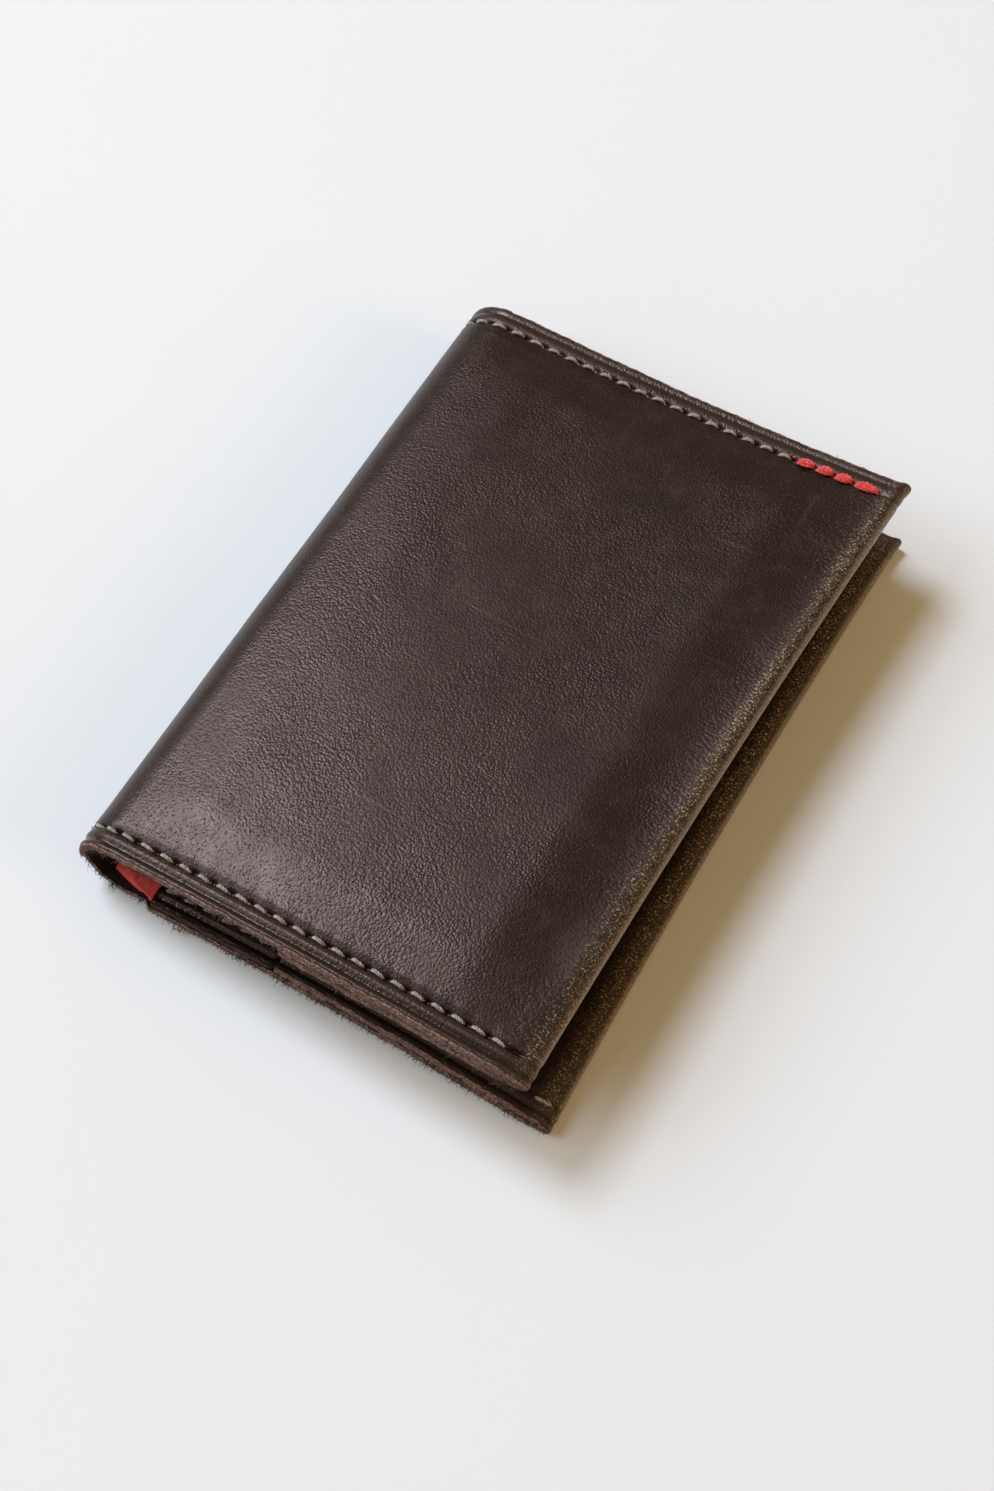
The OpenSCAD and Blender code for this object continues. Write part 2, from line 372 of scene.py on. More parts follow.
    # on the flap the holes are those of the panel
    nh, nf = np.append(hn, hn[-1] + (0.55 if side == "front" else 0.0)), hf.copy()
    back_map = s_nose[-1] + (L - NOSE_A) - (hn - S_ARC)
    back_mapf = s_nose[-1] + (L - NOSE_A) - (hf - S_ARC)
    hn2 = np.concatenate([nh, back_map[back_map > s_nose[-1]]])
    hf2 = np.concatenate([nf, back_mapf[back_mapf > s_nose[-1]]])
    puff = 0.95 if side == "front" else 0.32
    hgt = relief(S, Y, hn2, hf2, fade, puff)
    hgt = hgt + 0.10 * fbm(S / 17, Y / 21, 11 if side == "front" else 31, 3) * sstep(2, 12, np.minimum(Y, H - Y)) * (~onflap)
    hgt = hgt + 0.03 * fbm(S / 4.5, Y / 5.5, 23, 2)
    if side == "front":                        # a soft dent or two in the cover
        hgt = hgt - 0.22 * gauss(sx, 46, 13) * gauss(Y, 60, 22) + 0.12 * gauss(sx, 20, 10) * gauss(Y, 36, 16)
    # the nose keeps its section near the tip
    tip = np.zeros(Ns)
    tip[kind == 2] = al[1:]
    hgt = hgt * (1 - 0.55 * tip[:, None])
    G = G0 + N * hgt[..., None]
    if side == "back":
        G[..., 2] = np.where(G[..., 2] < 0.02, 0.02, G[..., 2])
    xs_all = np.where(kind >= 1, np.nan_to_num(x), -99.0)[:, None]
    # golden wear along the turned edge, partly a painted highlight; stronger on the back half
    wander = 0.35 * vnoise(Y / 7.0, S * 0 + 4.2, 88)
    gold_wear_and_highlight = gauss(xs_all, L - (1.75 if side == "front" else 1.9) + 0.6 * wander, 1.2 if side == "front" else 1.25) * ((0.65 if side == "front" else 0.9) + 0.35 * vnoise(Y / 11.0, S * 0 + 1.2, 89))
    gold_wear_and_highlight = np.maximum(gold_wear_and_highlight, 0.45 * sstep(L - 1.3, L - 0.5, xs_all))
    # tip mask: a painted pale highlight along the tip of the turned edge
    masks = dict(fold=np.clip(gold_wear_and_highlight, 0, 1), tip=sstep(L - 0.42 - 0.55 * Y / H, L - 0.12, xs_all),
                 # hole mask: painted shade in the stitch holes
                 hole=hole_shade_mask(S, Y, hn2, hf2))
    return G, F0, S, Y, kind, masks


# ---------------------------------------------------------------- thick sheets
def thick_sheet(name, G, F, S, Y, mask=None, rows=6, bulge=0.16, rough=0.07, seed=3, closed_flat=(), extra=None,
                masks=None):
    """A closed sheet of leather between a grain grid G and a flesh grid F. Its cut edges get rows of their
    own, rounded and rough. closed_flat names the ends ('s0', 's1') that are cut flat."""
    Ns, Ny = G.shape[:2]
    cell = np.ones((Ns - 1, Ny - 1), bool) if mask is None else mask
    used = np.zeros((Ns, Ny), bool)
    used[:-1, :-1] |= cell
    used[1:, :-1] |= cell
    used[:-1, 1:] |= cell
    used[1:, 1:] |= cell
    gi = np.full((Ns, Ny), -1)
    n = int(used.sum())
    gi[used] = np.arange(n)
    fi = np.where(used, gi + n, -1)
    i, j = np.nonzero(cell)
    fg = np.stack([gi[i, j], gi[i + 1, j], gi[i + 1, j + 1], gi[i, j + 1]], 1)
    ff = np.stack([fi[i, j], fi[i, j + 1], fi[i + 1, j + 1], fi[i + 1, j]], 1)
    verts = [G[used], F[used]]
    faces = [fg, ff]
    uv = [np.stack([S[used], Y[used]], 1), np.stack([S[used], Y[used] + 200], 1)]
    zero = np.zeros(n)
    raw = [zero.copy(), zero.copy()]
    flesh = [zero.copy(), np.ones(n)]
    masks = masks or {}
    # the masks: golden fold wear with a painted highlight, a painted highlight on the tip, painted shade in the
    # stitch holes
    MK = {k_: [masks[k_][used] if k_ in masks else zero.copy(), zero.copy()] for k_ in ("fold", "tip", "hole")}
    # boundary edges, walked as pairs of grid points with the cell on the left
    edges = []
    c = np.zeros((Ns + 1, Ny + 1), bool)
    c[1:Ns, 1:Ny] = cell
    for a in range(Ns):
        for b in range(Ny):
            # edge along s from (a,b) to (a+1,b)
            if a + 1 < Ns:
                up_, dn = c[a + 1, b + 1], c[a + 1, b]
                if up_ and not dn:
                    edges.append(((a, b), (a + 1, b), (0, -1)))
                if dn and not up_:
                    edges.append(((a + 1, b), (a, b), (0, 1)))
            if b + 1 < Ny:
                rt, lt = c[a + 1, b + 1], c[a, b + 1]
                if lt and not rt:
                    edges.append(((a, b), (a, b + 1), (1, 0)))
                if rt and not lt:
                    edges.append(((a, b + 1), (a, b), (-1, 0)))
    outward = {}
    flat = {}
    for p, q, o in edges:
        is_flat = ("s0" in closed_flat and o == (-1, 0) and p[0] == 0) or ("s1" in closed_flat and o == (1, 0) and p[0] == Ns - 1)
        for v in (p, q):
            a, b = v
            ia, ib = min(max(a - o[0], 0), Ns - 1), min(max(b - o[1], 0), Ny - 1)
            dvec = (G[a, b] - G[ia, ib]) + (F[a, b] - F[ia, ib])
            dvec = dvec / (np.linalg.norm(dvec) + 1e-12)
            outward[v] = outward.get(v, 0) + dvec
            flat[v] = flat.get(v, False) or is_flat
    keys = list(outward)
    base = 2 * n
    kidx = {v: k for k, v in enumerate(keys)}
    m = rows
    tt = (np.arange(1, m + 1)) / (m + 1)
    A = np.array([v[0] for v in keys])
    B = np.array([v[1] for v in keys])
    O = np.array([outward[v] for v in keys])
    O /= np.linalg.norm(O, axis=1, keepdims=True) + 1e-12
    FL = np.array([flat[v] for v in keys])
    PG, PF = G[A, B], F[A, B]
    sv, yv = S[A, B], Y[A, B]
    W, WU = [], []
    for k, t in enumerate(tt):
        w = PG * (1 - t) + PF * t
        th = np.linalg.norm(PG - PF, axis=1)
        b_ = bulge * (math.sin(math.pi * min(1, t * 1.08 + 0.02)) ** 0.6) * np.clip(th / 0.8, 0, 1)
        r_ = rough * (fbm((sv + yv) / 0.62, t * 3.4 + seed, seed, 2) + 0.5 * vnoise((sv - yv) / 2.6, seed + t, seed + 3)) * np.clip(th / 0.8, 0, 1)
        w = w + O * (np.where(FL, 0.0, b_ + r_))[:, None]
        W.append(w)
        WU.append(np.stack([sv + yv + 400, 100 + np.full(len(sv), t * T)], 1))
    verts += W
    uv += WU
    K = len(keys)
    for k in range(m):
        raw.append(np.where(FL, 0.0, 1.0))
        flesh.append(np.where(FL, 1.0, 0.0))
        for k_ in MK:
            MK[k_].append(np.zeros(K))
    wf = []
    for p, q, o in edges:
        kp, kq = kidx[p], kidx[q]
        colp = [gi[p]] + [base + r * K + kp for r in range(m)] + [fi[p]]
        colq = [gi[q]] + [base + r * K + kq for r in range(m)] + [fi[q]]
        for r in range(m + 1):
            wf.append((colp[r], colp[r + 1], colq[r + 1], colq[r]))
    faces.append(np.array(wf))
    V = np.concatenate(verts)
    Fc = np.concatenate(faces)
    mesh = bpy.data.meshes.new(name)
    mesh.vertices.add(len(V))
    mesh.vertices.foreach_set("co", row(V).astype(np.float32).ravel())
    mesh.loops.add(len(Fc) * 4)
    mesh.loops.foreach_set("vertex_index", Fc.astype(np.int32).ravel())
    mesh.polygons.add(len(Fc))
    mesh.polygons.foreach_set("loop_start", np.arange(0, len(Fc) * 4, 4, dtype=np.int32))
    mesh.polygons.foreach_set("loop_total", np.full(len(Fc), 4, np.int32))
    mesh.update(calc_edges=True)
    U = np.concatenate(uv)
    layer = mesh.uv_layers.new(name="flat")
    layer.data.foreach_set("uv", (U[Fc.ravel()] / 10.0).astype(np.float32).ravel())
    # rawness spreads a little over the grain side's rim
    RAW, FLESH = np.concatenate(raw), np.concatenate(flesh)
    MK = {k_: np.concatenate(v_) for k_, v_ in MK.items()}
    d = np.minimum(Y, H - Y)[used]
    rim = (1 - sstep(0.08, 0.34 + 0.16 * vnoise(S[used] / 0.6, 3.3, seed), d))
    RAW[:n] = np.maximum(RAW[:n], rim * 0.9)
    EDGE = np.zeros(len(V))
    EDGE[:n] = 1 - sstep(2.0, 3.2, d)
    EDGE[2 * n:] = 1
    # painted shade along the seam groove
    SEAM_SHADE = np.zeros(len(V))
    SEAM_SHADE[:n] = gauss(d, YS, 0.42)
    CREASE = np.zeros(len(V))
    CREASE[:n] = gauss(d, 1.25, 0.42) * np.where(Y[used] < H / 2, 1.0, 0.30)
    for nm, arr in (("raw", RAW), ("flesh", FLESH), ("edge", EDGE), ("seam", SEAM_SHADE), ("crease", CREASE), *MK.items()):
        at = mesh.attributes.new(nm, "FLOAT", "POINT")
        at.data.foreach_set("value", arr.astype(np.float32))
    mesh.polygons.foreach_set("use_smooth", np.ones(len(Fc), bool))
    obj = bpy.data.objects.new(name, mesh)
    scn.collection.objects.link(obj)
    make_outward(obj)
    if extra:
        extra(obj)
    return obj


def make_outward(obj):
    """Turns every face outward (the mesh is closed, so its volume says which way it looks)."""
    me = obj.data
    n = len(me.vertices)
    co = np.zeros(n * 3, np.float32)
    me.vertices.foreach_get("co", co)
    co = co.reshape(-1, 3).astype(float)
    li = np.zeros(len(me.loops), np.int32)
    me.loops.foreach_get("vertex_index", li)
    q = li.reshape(-1, 4)
    a, b, c, d = co[q[:, 0]], co[q[:, 1]], co[q[:, 2]], co[q[:, 3]]
    vol = (np.einsum("ij,ij->i", a, np.cross(b, c)) + np.einsum("ij,ij->i", a, np.cross(c, d))).sum()
    if vol < 0:
        me.flip_normals()
    me.update()


# ---------------------------------------------------------------- the leather strip
grids = {}
for side in ("back", "front"):
    G, F, S, Y, kind, masks = half_grids(side)
    ob = thick_sheet("leather_" + side + "_half", G, F, S, Y, closed_flat=("s0",), masks=masks,
                     seed=5 if side == "front" else 9, bulge=0.07, rough=0.15, rows=8)
    grids[side] = (G, F, S[:, 0].copy(), kind)
    grids[side + "_obj"] = ob


def surface_at(side, s, y):
    """Point and outward normal on the grain side at s along the strip and y from the near edge."""
    G, F, s_arr, kind = grids[side]
    s = np.atleast_1d(np.asarray(s, float))
    y = np.broadcast_to(np.asarray(y, float), s.shape)
    fs = np.interp(s, s_arr, np.arange(len(s_arr)))
    fy = np.interp(y, YR, np.arange(len(YR)))

    def pick(fs, fy):
        i0 = np.clip(np.floor(fs).astype(int), 0, len(s_arr) - 2)
        j0 = np.clip(np.floor(fy).astype(int), 0, len(YR) - 2)
        a, b = (fs - i0)[:, None], (fy - j0)[:, None]
        return (G[i0, j0] * (1 - a) * (1 - b) + G[i0 + 1, j0] * a * (1 - b) + G[i0, j0 + 1] * (1 - a) * b
                + G[i0 + 1, j0 + 1] * a * b)

    def flesh(fs, fy):
        i0 = np.clip(np.round(fs).astype(int), 0, len(s_arr) - 1)
        j0 = np.clip(np.round(fy).astype(int), 0, len(YR) - 1)
        return F[i0, j0]

    p = pick(fs, fy)
    ds = pick(fs + 1.5, fy) - pick(np.maximum(fs - 1.5, 0), fy)
    dy = pick(fs, np.minimum(fy + 2.0, len(YR) - 1)) - pick(fs, np.maximum(fy - 2.0, 0))
    n = np.cross(ds, dy)
    n /= np.linalg.norm(n, axis=1, keepdims=True) + 1e-12
    sg = np.sign(((p - flesh(fs, fy)) * n).sum(1))
    sg[sg == 0] = 1
    return p, n * sg[:, None], ds / (np.linalg.norm(ds, axis=1, keepdims=True) + 1e-12)


# ---------------------------------------------------------------- the T-shaped pocket
def pocket_grids():
    t = 1.0
    xh = holes["back_near"] - S_ARC
    xs = np.concatenate([around(xh[(xh > XP0) & (xh < XP1)], XP0, XP1 - 0.02, 0.26, 0.5),
                         np.linspace(XP1 + 0.02, XP1 + 31, 40)])
    yr = np.sort(np.concatenate([YR, [12.05, 12.15, H - 12.15, H - 12.05]]))
    X, Y = np.meshgrid(xs, yr, indexing="ij")
    d = np.minimum(Y, H - Y)
    zb = back_bottom(X, Y) + T + 0.02
    under = X > XP1
    m = sstep(4.6, 13, d)
    gap = 0.62 * m * (1 - 0.2 * sstep(XP0, XP0 + 9, X))
    gap = np.where(under, 0.10 + 0.40 * sstep(10, 18, d), gap)
    top = zb + gap + t
    Gz = top.copy()
    S = X + S_ARC
    hn = holes["back_near"]
    rel = relief(S, Y, hn, holes["back_far"], np.zeros_like(X), 0.0)
    rel = np.where(under, 0.0, rel)
    mouth = X - XP0
    rel = rel - 0.22 * gauss(mouth, 0, 0.3) - 0.10 * gauss(mouth, 1.35, 0.22) + 0.04 * gauss(mouth, 1.85, 0.22)
    rel = rel - 0.25 * gauss(X, XP1, 0.3) * (~under)
    Gz = Gz + rel + 0.025 * fbm(X / 4, Y / 5, 77, 2)
    Fz = zb + gap
    # the near left corner is cut round
    PX, PY = plan("back", S, X, Y)
    corner = np.clip(1.1 - (X - XP0), 0, 1.1)
    PY = PY + np.where(Y < 6, (1.1 - np.sqrt(np.maximum(1.1 ** 2 - corner ** 2, 0))) * (1 - Y / 6) * 0.5, 0)
    PY = PY - 0.10 * fbm(X / 1.2, 7.5 + 0 * X, 66, 3) * np.exp(-(Y / 0.9) ** 2)
    cr = np.clip(0.9 - (XP1 - X), 0, 0.9) * (~under)
    PY = PY + np.where(Y < 5, (0.9 - np.sqrt(np.maximum(0.9 ** 2 - cr ** 2, 0))) * (1 - Y / 5), 0)
    G = np.stack([PX, PY, Gz], -1)
    F = np.stack([PX, PY, Fz], -1)
    cell = np.ones((len(xs) - 1, len(yr) - 1), bool)
    xm = (xs[:-1] + xs[1:]) / 2
    ym = (yr[:-1] + yr[1:]) / 2
    cell[np.ix_(xm > XP1 - 0.01, (ym < 12.1) | (ym > H - 12.1))] = False
    # painted shade in the pocket's stitch holes
    pm = dict(hole=hole_shade_mask(S, Y, holes["back_near"], holes["back_far"]) * (~under))
    return G, F, S, Y, cell, xs, yr, pm


PG, PF, PS, PY_, pcell, pxs, pyr, pmask = pocket_grids()
pocket = thick_sheet("t_pocket_leather", PG, PF, PS, PY_, mask=pcell, rows=5, bulge=0.10, rough=0.12, seed=21, masks=pmask)


def pocket_at(x, y):
    x = np.atleast_1d(np.asarray(x, float))
    y = np.broadcast_to(np.asarray(y, float), x.shape)
    fi = np.interp(x, pxs, np.arange(len(pxs)))
    fj = np.interp(y, pyr, np.arange(len(pyr)))
    i0 = np.clip(np.floor(fi).astype(int), 0, len(pxs) - 2)
    j0 = np.clip(np.floor(fj).astype(int), 0, len(pyr) - 2)
    a, b = (fi - i0)[:, None], (fj - j0)[:, None]
    return PG[i0, j0] * (1 - a) * (1 - b) + PG[i0 + 1, j0] * a * (1 - b) + PG[i0, j0 + 1] * (1 - a) * b + PG[i0 + 1, j0 + 1] * a * b


# ---------------------------------------------------------------- thread
class Tubes:
    """Collects thin closed tubes into one mesh."""

    def __init__(self):
        self.v, self.f, self.u, self.n = [], [], [], 0

    def add(self, path, rad, sides=7, u0=0.0):
        path = np.asarray(path, float)
        n = len(path)
        rad = np.broadcast_to(np.asarray(rad, float), (n,))
        tg = np.gradient(path, axis=0)
        tg /= np.linalg.norm(tg, axis=1, keepdims=True) + 1e-12
        ref = np.array([0.0, 0.0, 1.0]) if abs(tg[0, 2]) < 0.9 else np.array([0.0, 1.0, 0.0])
        a = np.cross(tg[0], ref)
        a /= np.linalg.norm(a)
        rings = []
        for k in range(n):
            a = a - tg[k] * (a @ tg[k])
            a /= np.linalg.norm(a) + 1e-12
            b = np.cross(tg[k], a)
            th = np.linspace(0, 2 * math.pi, sides, endpoint=False)
            rings.append(path[k] + rad[k] * (np.cos(th)[:, None] * a + np.sin(th)[:, None] * b))
        ln = np.concatenate([[0], np.cumsum(np.linalg.norm(np.diff(path, axis=0), axis=1))])
        base = self.n
        self.v.append(np.concatenate(rings + [path[:1], path[-1:]]))
        us = np.concatenate([np.stack([np.full(sides, ln[k] + u0), np.arange(sides) / sides], 1) for k in range(n)]
                            + [[[ln[0] + u0, 0]], [[ln[-1] + u0, 0]]])
        self.u.append(us)
        f = []
        for k in range(n - 1):
            for j in range(sides):
                j2 = (j + 1) % sides
                f.append((base + k * sides + j, base + k * sides + j2, base + (k + 1) * sides + j2, base + (k + 1) * sides + j))
        c0, c1 = base + n * sides, base + n * sides + 1
        for j in range(sides):
            j2 = (j + 1) % sides
            f.append((c0, base + j2, base + j))
            f.append((c1, base + (n - 1) * sides + j, base + (n - 1) * sides + j2))
        self.f += f
        self.n += n * sides + 2

    def make(self, name):
        V, U = np.concatenate(self.v), np.concatenate(self.u)
        me = bpy.data.meshes.new(name)
        me.from_pydata(row(V).tolist(), [], self.f)
        lay = me.uv_layers.new(name="flat")
        li = np.zeros(len(me.loops), np.int32)
        me.loops.foreach_get("vertex_index", li)
        lay.data.foreach_set("uv", (U[li] / 10.0).astype(np.float32).ravel())
        me.polygons.foreach_set("use_smooth", np.ones(len(me.polygons), bool))
        me.update()
        ob = bpy.data.objects.new(name, me)
        scn.collection.objects.link(ob)
        return ob


rng = np.random.default_rng(11)


def twist(tubes, centre, nrm, plies=3, r_ply=0.165, r_helix=0.165, turn=1.55, phase=0.0, flat=0.85, sides=7, taper=True):
    """A twisted thread along a centre line. turn is the length of one turn in mm."""
    centre = np.asarray(centre, float)
    n = len(centre)
    tg = np.gradient(centre, axis=0)
    tg /= np.linalg.norm(tg, axis=1, keepdims=True) + 1e-12
    nr = np.broadcast_to(nrm, centre.shape)
    nr = nr - tg * (nr * tg).sum(1, keepdims=True)
    nr /= np.linalg.norm(nr, axis=1, keepdims=True) + 1e-12
    bi = np.cross(tg, nr)
    ln = np.concatenate([[0], np.cumsum(np.linalg.norm(np.diff(centre, axis=0), axis=1))])
    for p in range(plies):
        th = phase + 2 * math.pi * (ln / turn + p / plies)
        path = centre + r_helix * (np.cos(th)[:, None] * nr * flat + np.sin(th)[:, None] * bi)
        r = np.full(n, r_ply)
        if taper:
            r = r * (0.75 + 0.25 * np.sin(np.pi * np.linspace(0, 1, n)) ** 0.5)
        tubes.add(path, r, sides, u0=p * 3.3)


def run_of(getter, h0, h1, y, slant, lift, depth, n=22):
    """Centre line of one stitch from hole h0 to hole h1: out of its hole, over the leather, into the next."""
    t = np.linspace(0, 1, n)
    s = h0 + (h1 - h0) * (0.12 + 0.76 * t)
    yy = y + slant * (0.5 - t)
    P, N = getter(s, yy)
    # the leather's own dents don't carry the thread: it is straight between its holes
    mid = (t > 0.22) & (t < 0.78)
    A, B = P[np.argmax(mid)], P[len(t) - 1 - np.argmax(mid[::-1])]
    ta, tb = t[np.argmax(mid)], t[len(t) - 1 - np.argmax(mid[::-1])]
    line = A + (B - A) * ((t - ta) / (tb - ta))[:, None]
    Nm = N.mean(0)
    Nm /= np.linalg.norm(Nm)
    hump = (P - line) @ Nm
    keep = line + Nm * np.maximum(hump, 0)[:, None] * 0.9
    arch = np.sin(np.pi * t) ** 0.55
    end = 1 - np.clip(np.minimum(t, 1 - t) / 0.30, 0, 1)
    off = lift * arch - depth * end ** 1.5
    out = keep + Nm * off[:, None]
    out[:, 2] = np.maximum(out[:, 2], 0.30)      # nothing lies lower than the table
    return out, Nm


def strip_getter(side):
    def g(s, y):
        p, n, _ = surface_at(side, s, y)
        return p, n
    return g


def flap_getter(side):
    L = LB if side == "back" else LF
    G, F, s_arr, kind = grids[side]
    s_n = s_arr[kind == 2][-1]

    def g(s, y):
        ss = s_n + (L - NOSE_A) - (s - S_ARC)
        p, n, _ = surface_at(side, ss, y)
        return p, n
    return g


def pocket_getter(s, y):
    p = pocket_at(s - S_ARC, y)
    return p, np.broadcast_to(np.array([0, 0, 1.0]), p.shape)


def flesh_getter(s, y):
    """The flesh side of the front panel, between the spine and the mouth of its flap."""
    G, F, s_arr, kind = grids["front"]
    fs = np.interp(s, s_arr, np.arange(len(s_arr)))
    fy = np.interp(y, YR, np.arange(len(YR)))
    p = F[np.clip(np.round(fs).astype(int), 0, len(s_arr) - 1), np.clip(np.round(fy).astype(int), 0, len(YR) - 1)]
    q = G[np.clip(np.round(fs).astype(int), 0, len(s_arr) - 1), np.clip(np.round(fy).astype(int), 0, len(YR) - 1)]
    n = p - q
    return p, n / (np.linalg.norm(n, axis=1, keepdims=True) + 1e-12)


def sew(name, getter, hs, y, slant, phase0=0.0, lift=0.10, depth=0.85, skip=lambda k: False, jitter=0.09, tubes=None):
    tb = tubes or Tubes()
    for k in range(len(hs) - 1):
        if skip(k):
            continue
        j = rng.normal(0, jitter, 2)
        c, n = run_of(getter, hs[k], hs[k + 1], y + 0.4 * j[0], slant * (1 + j[1]), lift * (1 + 1.5 * j[0]), depth)
        twist(tb, c, n, phase=phase0 + rng.uniform(0, 6.28), r_ply=0.132, r_helix=0.150, turn=1.30, flat=0.8)
    if tubes is None:
        return tb.make(name)
    return tb


X_BEND = 1.0                                   # stitches that start before this lie on the bend
pieces_seams = {}
for side in ("front", "back"):
    tb_bend = Tubes()
    for end, y, sl in (("near", YS, 0.34), ("far", H - YS, -0.34)):
        hs = holes[f"{side}_{end}"]
        on_bend = hs[1:] < S_ARC + X_BEND + 1.5
        sew(None, strip_getter(side), hs, y, sl, skip=lambda k: not on_bend[k], tubes=tb_bend, lift=0.15)
        tb = Tubes()
        red_from = len(hs) - 1 - 4 if (side == "front" and end == "far") else 10 ** 6
        sew(None, strip_getter(side), hs, y, sl, skip=lambda k: on_bend[k] or k >= red_from, tubes=tb,
            lift=0.24 if side == "front" else 0.12)
        # the inner runs of the same thread
        xs = hs - S_ARC
        yi = 2.85 if end == "near" else H - 2.9
        x_mouth = XB0 if side == "back" else XF0

        def inner_ok(k, lo_, hi_):
            return xs[k] > lo_ and xs[k + 1] < hi_
        L_ = LB if side == "back" else LF
        last = L_ - 3.9 if side == "front" else 99
        sew(None, flap_getter(side), hs, yi, -sl, skip=lambda k: not inner_ok(k, x_mouth + 0.1, last), tubes=tb, depth=0.55, lift=0.06)
        if side == "back":
            sew(None, pocket_getter, hs, yi, -sl, skip=lambda k: not inner_ok(k, XP0 - 0.2, XP1 + 0.5), tubes=tb, lift=0.16)
        else:
            sew(None, flesh_getter, hs, yi, -sl, skip=lambda k: not inner_ok(k, 1.0, x_mouth), tubes=tb)
        pieces_seams[f"{side}_{end}"] = tb.make(f"{side}_{end}_thread")
    pieces_seams[f"{side}_bend"] = tb_bend.make(f"spine_stitches_{side}_half")

# ---------------------------------------------------------------- red accent stitches
acc = Tubes()
hs = holes["front_far"][-5:]
gt = strip_getter("front")
for k in range(4):
    a, b = hs[k], hs[k + 1]
    if k < 3:
        a, b = a + 0.40, b + 0.40
    else:
        a, b = a + 0.45, b + 0.75
    wraps = 5
    for w in range(wraps):
        f = (w / (wraps - 1)) * 2 - 1          # -1 on the side of the panel, 1 on the side of the edge
        t = np.linspace(0, 1, 26)
        s = a + (b - a) * (0.05 + 0.90 * t)
        bow = np.sin(np.pi * t) ** 0.75
        yy = (H - YS) + f * 0.62 * bow - 0.30 * (0.5 - t) + 0.05 * rng.normal()
        P, N = gt(s, yy)
        P_in, _ = gt(s, np.full(26, H - YS - 1.3))
        P_out, _ = gt(s, np.full(26, H - YS + 1.0))
        Nm = N.mean(0)
        Nm /= np.linalg.norm(Nm)
        # the bundle stands on the leather either side of the pressed seam
        z0 = P_out[:, 2] + (P_in[:, 2] - P_out[:, 2]) * (0.5 - 0.45 * f)
        hgt = (0.10 + 0.40 * math.sqrt(max(0, 1 - (f * 0.92) ** 2))) * np.sin(np.pi * t) ** 0.5
        dip = 0.85 * (1 - np.clip(np.minimum(t, 1 - t) / 0.16, 0, 1)) ** 1.4
        c = np.stack([P[:, 0], P[:, 1], z0 + hgt - dip], -1)
        twist(acc, c, Nm, plies=2, r_ply=0.128, r_helix=0.125, turn=1.25, phase=rng.uniform(0, 6.28), sides=7)
# the cut tail at the last hole
tail_p, tail_n = gt(np.array([hs[4] + 0.35, hs[4] + 0.62]), H - YS - 0.05)
acc.add(np.stack([tail_p[0] - tail_n[0] * 0.5, tail_p[0] + tail_n[0] * 0.05, tail_p[1] + tail_n[1] * 0.16]), [0.16, 0.17, 0.10], 8)
tail_p, tail_n = gt(np.array([hs[0] - 0.05, hs[0] - 0.35]), H - YS + 0.45)
acc.add(np.stack([tail_p[0] - tail_n[0] * 0.4, tail_p[0] + tail_n[0] * 0.12, tail_p[1] + tail_n[1] * 0.2]), [0.14, 0.15, 0.09], 8)
accent = acc.make("accent_stitches_red")

# ---------------------------------------------------------------- red ribbon loop
def ribbon():
    """A ribbon folded into a loop. Its tails lie under the pocket's corner and the fold points to the spine."""
    w0, w1 = -0.05, 3.9
    nl, nw = 70, 22
    prof = []
    zt0 = T + 0.06
    # side view: lower leaf from the tail to the fold, round, and the upper leaf back to the pocket's mouth
    for q in np.linspace(0, 1, nl):
        if q < 0.42:
            f = q / 0.42
            x = 8.0 + (-1.45 - 8.0) * f
            z = zt0 + 0.25 + 0.12 * math.sin(3.1 * f) + 0.35 * sstep(5.5, 2.0, x) * 0 + 0.55 * float(sstep(4.5, -1.0, x))
        elif q < 0.62:
            f = (q - 0.42) / 0.20
            a = math.pi * f
            x = -1.45 - 0.95 * math.sin(a)
            z = zt0 + 0.8 + 0.62 * (1 - math.cos(a))
        else:
            f = (q - 0.62) / 0.38
            x = -1.45 + (4.6 + 1.45) * f
            z = zt0 + 2.04 - 0.42 * f + 0.18 * math.sin(math.pi * f)
        prof.append((x, z))
    prof = np.array(prof)
    tw = np.linspace(0, 1, nw)
    tgt = np.gradient(prof, axis=0)
    tgt /= np.linalg.norm(tgt, axis=1, keepdims=True)
    nx, nz = -tgt[:, 1], tgt[:, 0]
    V = []
    for i in range(nl):
        for j in range(nw):
            y = w0 + (w1 - w0) * tw[j]
            x, z = prof[i]
            # the loop leans away from the near edge towards its fold
            y = y + 0.62 + 0.30 * max(0.0, 4.6 - x) * 0.72
            e = abs(tw[j] * 2 - 1)
            z = z - 0.10 * e ** 6 + 0.05 * math.sin(9 * tw[j] + 0.8 * x)
            z += 0.10 * float(vnoise(x / 1.6, y / 1.3, 61)) + 0.13 * float(vnoise(x / 0.75, y / 0.9 + 0.6 * x, 62)) * float(sstep(5.0, 3.0, x))
            x2 = x + 0.32 * (tw[j] - 0.5) * float(sstep(2.0, -2.2, x)) * -1.6
            V.append((x2, y, z, nx[i], nz[i]))
    V = np.array(V).reshape(nl, nw, 5)
    th = 0.17
    up = V[..., :3].copy()
    dn = V[..., :3].copy()
    up[..., 0] += V[..., 3] * th
    up[..., 2] += V[..., 4] * th
    dn[..., 0] -= V[..., 3] * th
    dn[..., 2] -= V[..., 4] * th
    # ribs of the weave across the ribbon
    rib = 0.022 * np.sin(np.arange(nl) * 2.4)[:, None]
    up[..., 2] += rib * np.sign(V[..., 4])
    S = np.repeat(np.linspace(0, 22, nl)[:, None], nw, 1)
    Yy = np.repeat((20 + tw * 4)[None, :], nl, 0)
    return thick_sheet("tag_ribbon_loop", up, dn, S, Yy, rows=2, bulge=0.05, rough=0.03, seed=33)


tag = ribbon()

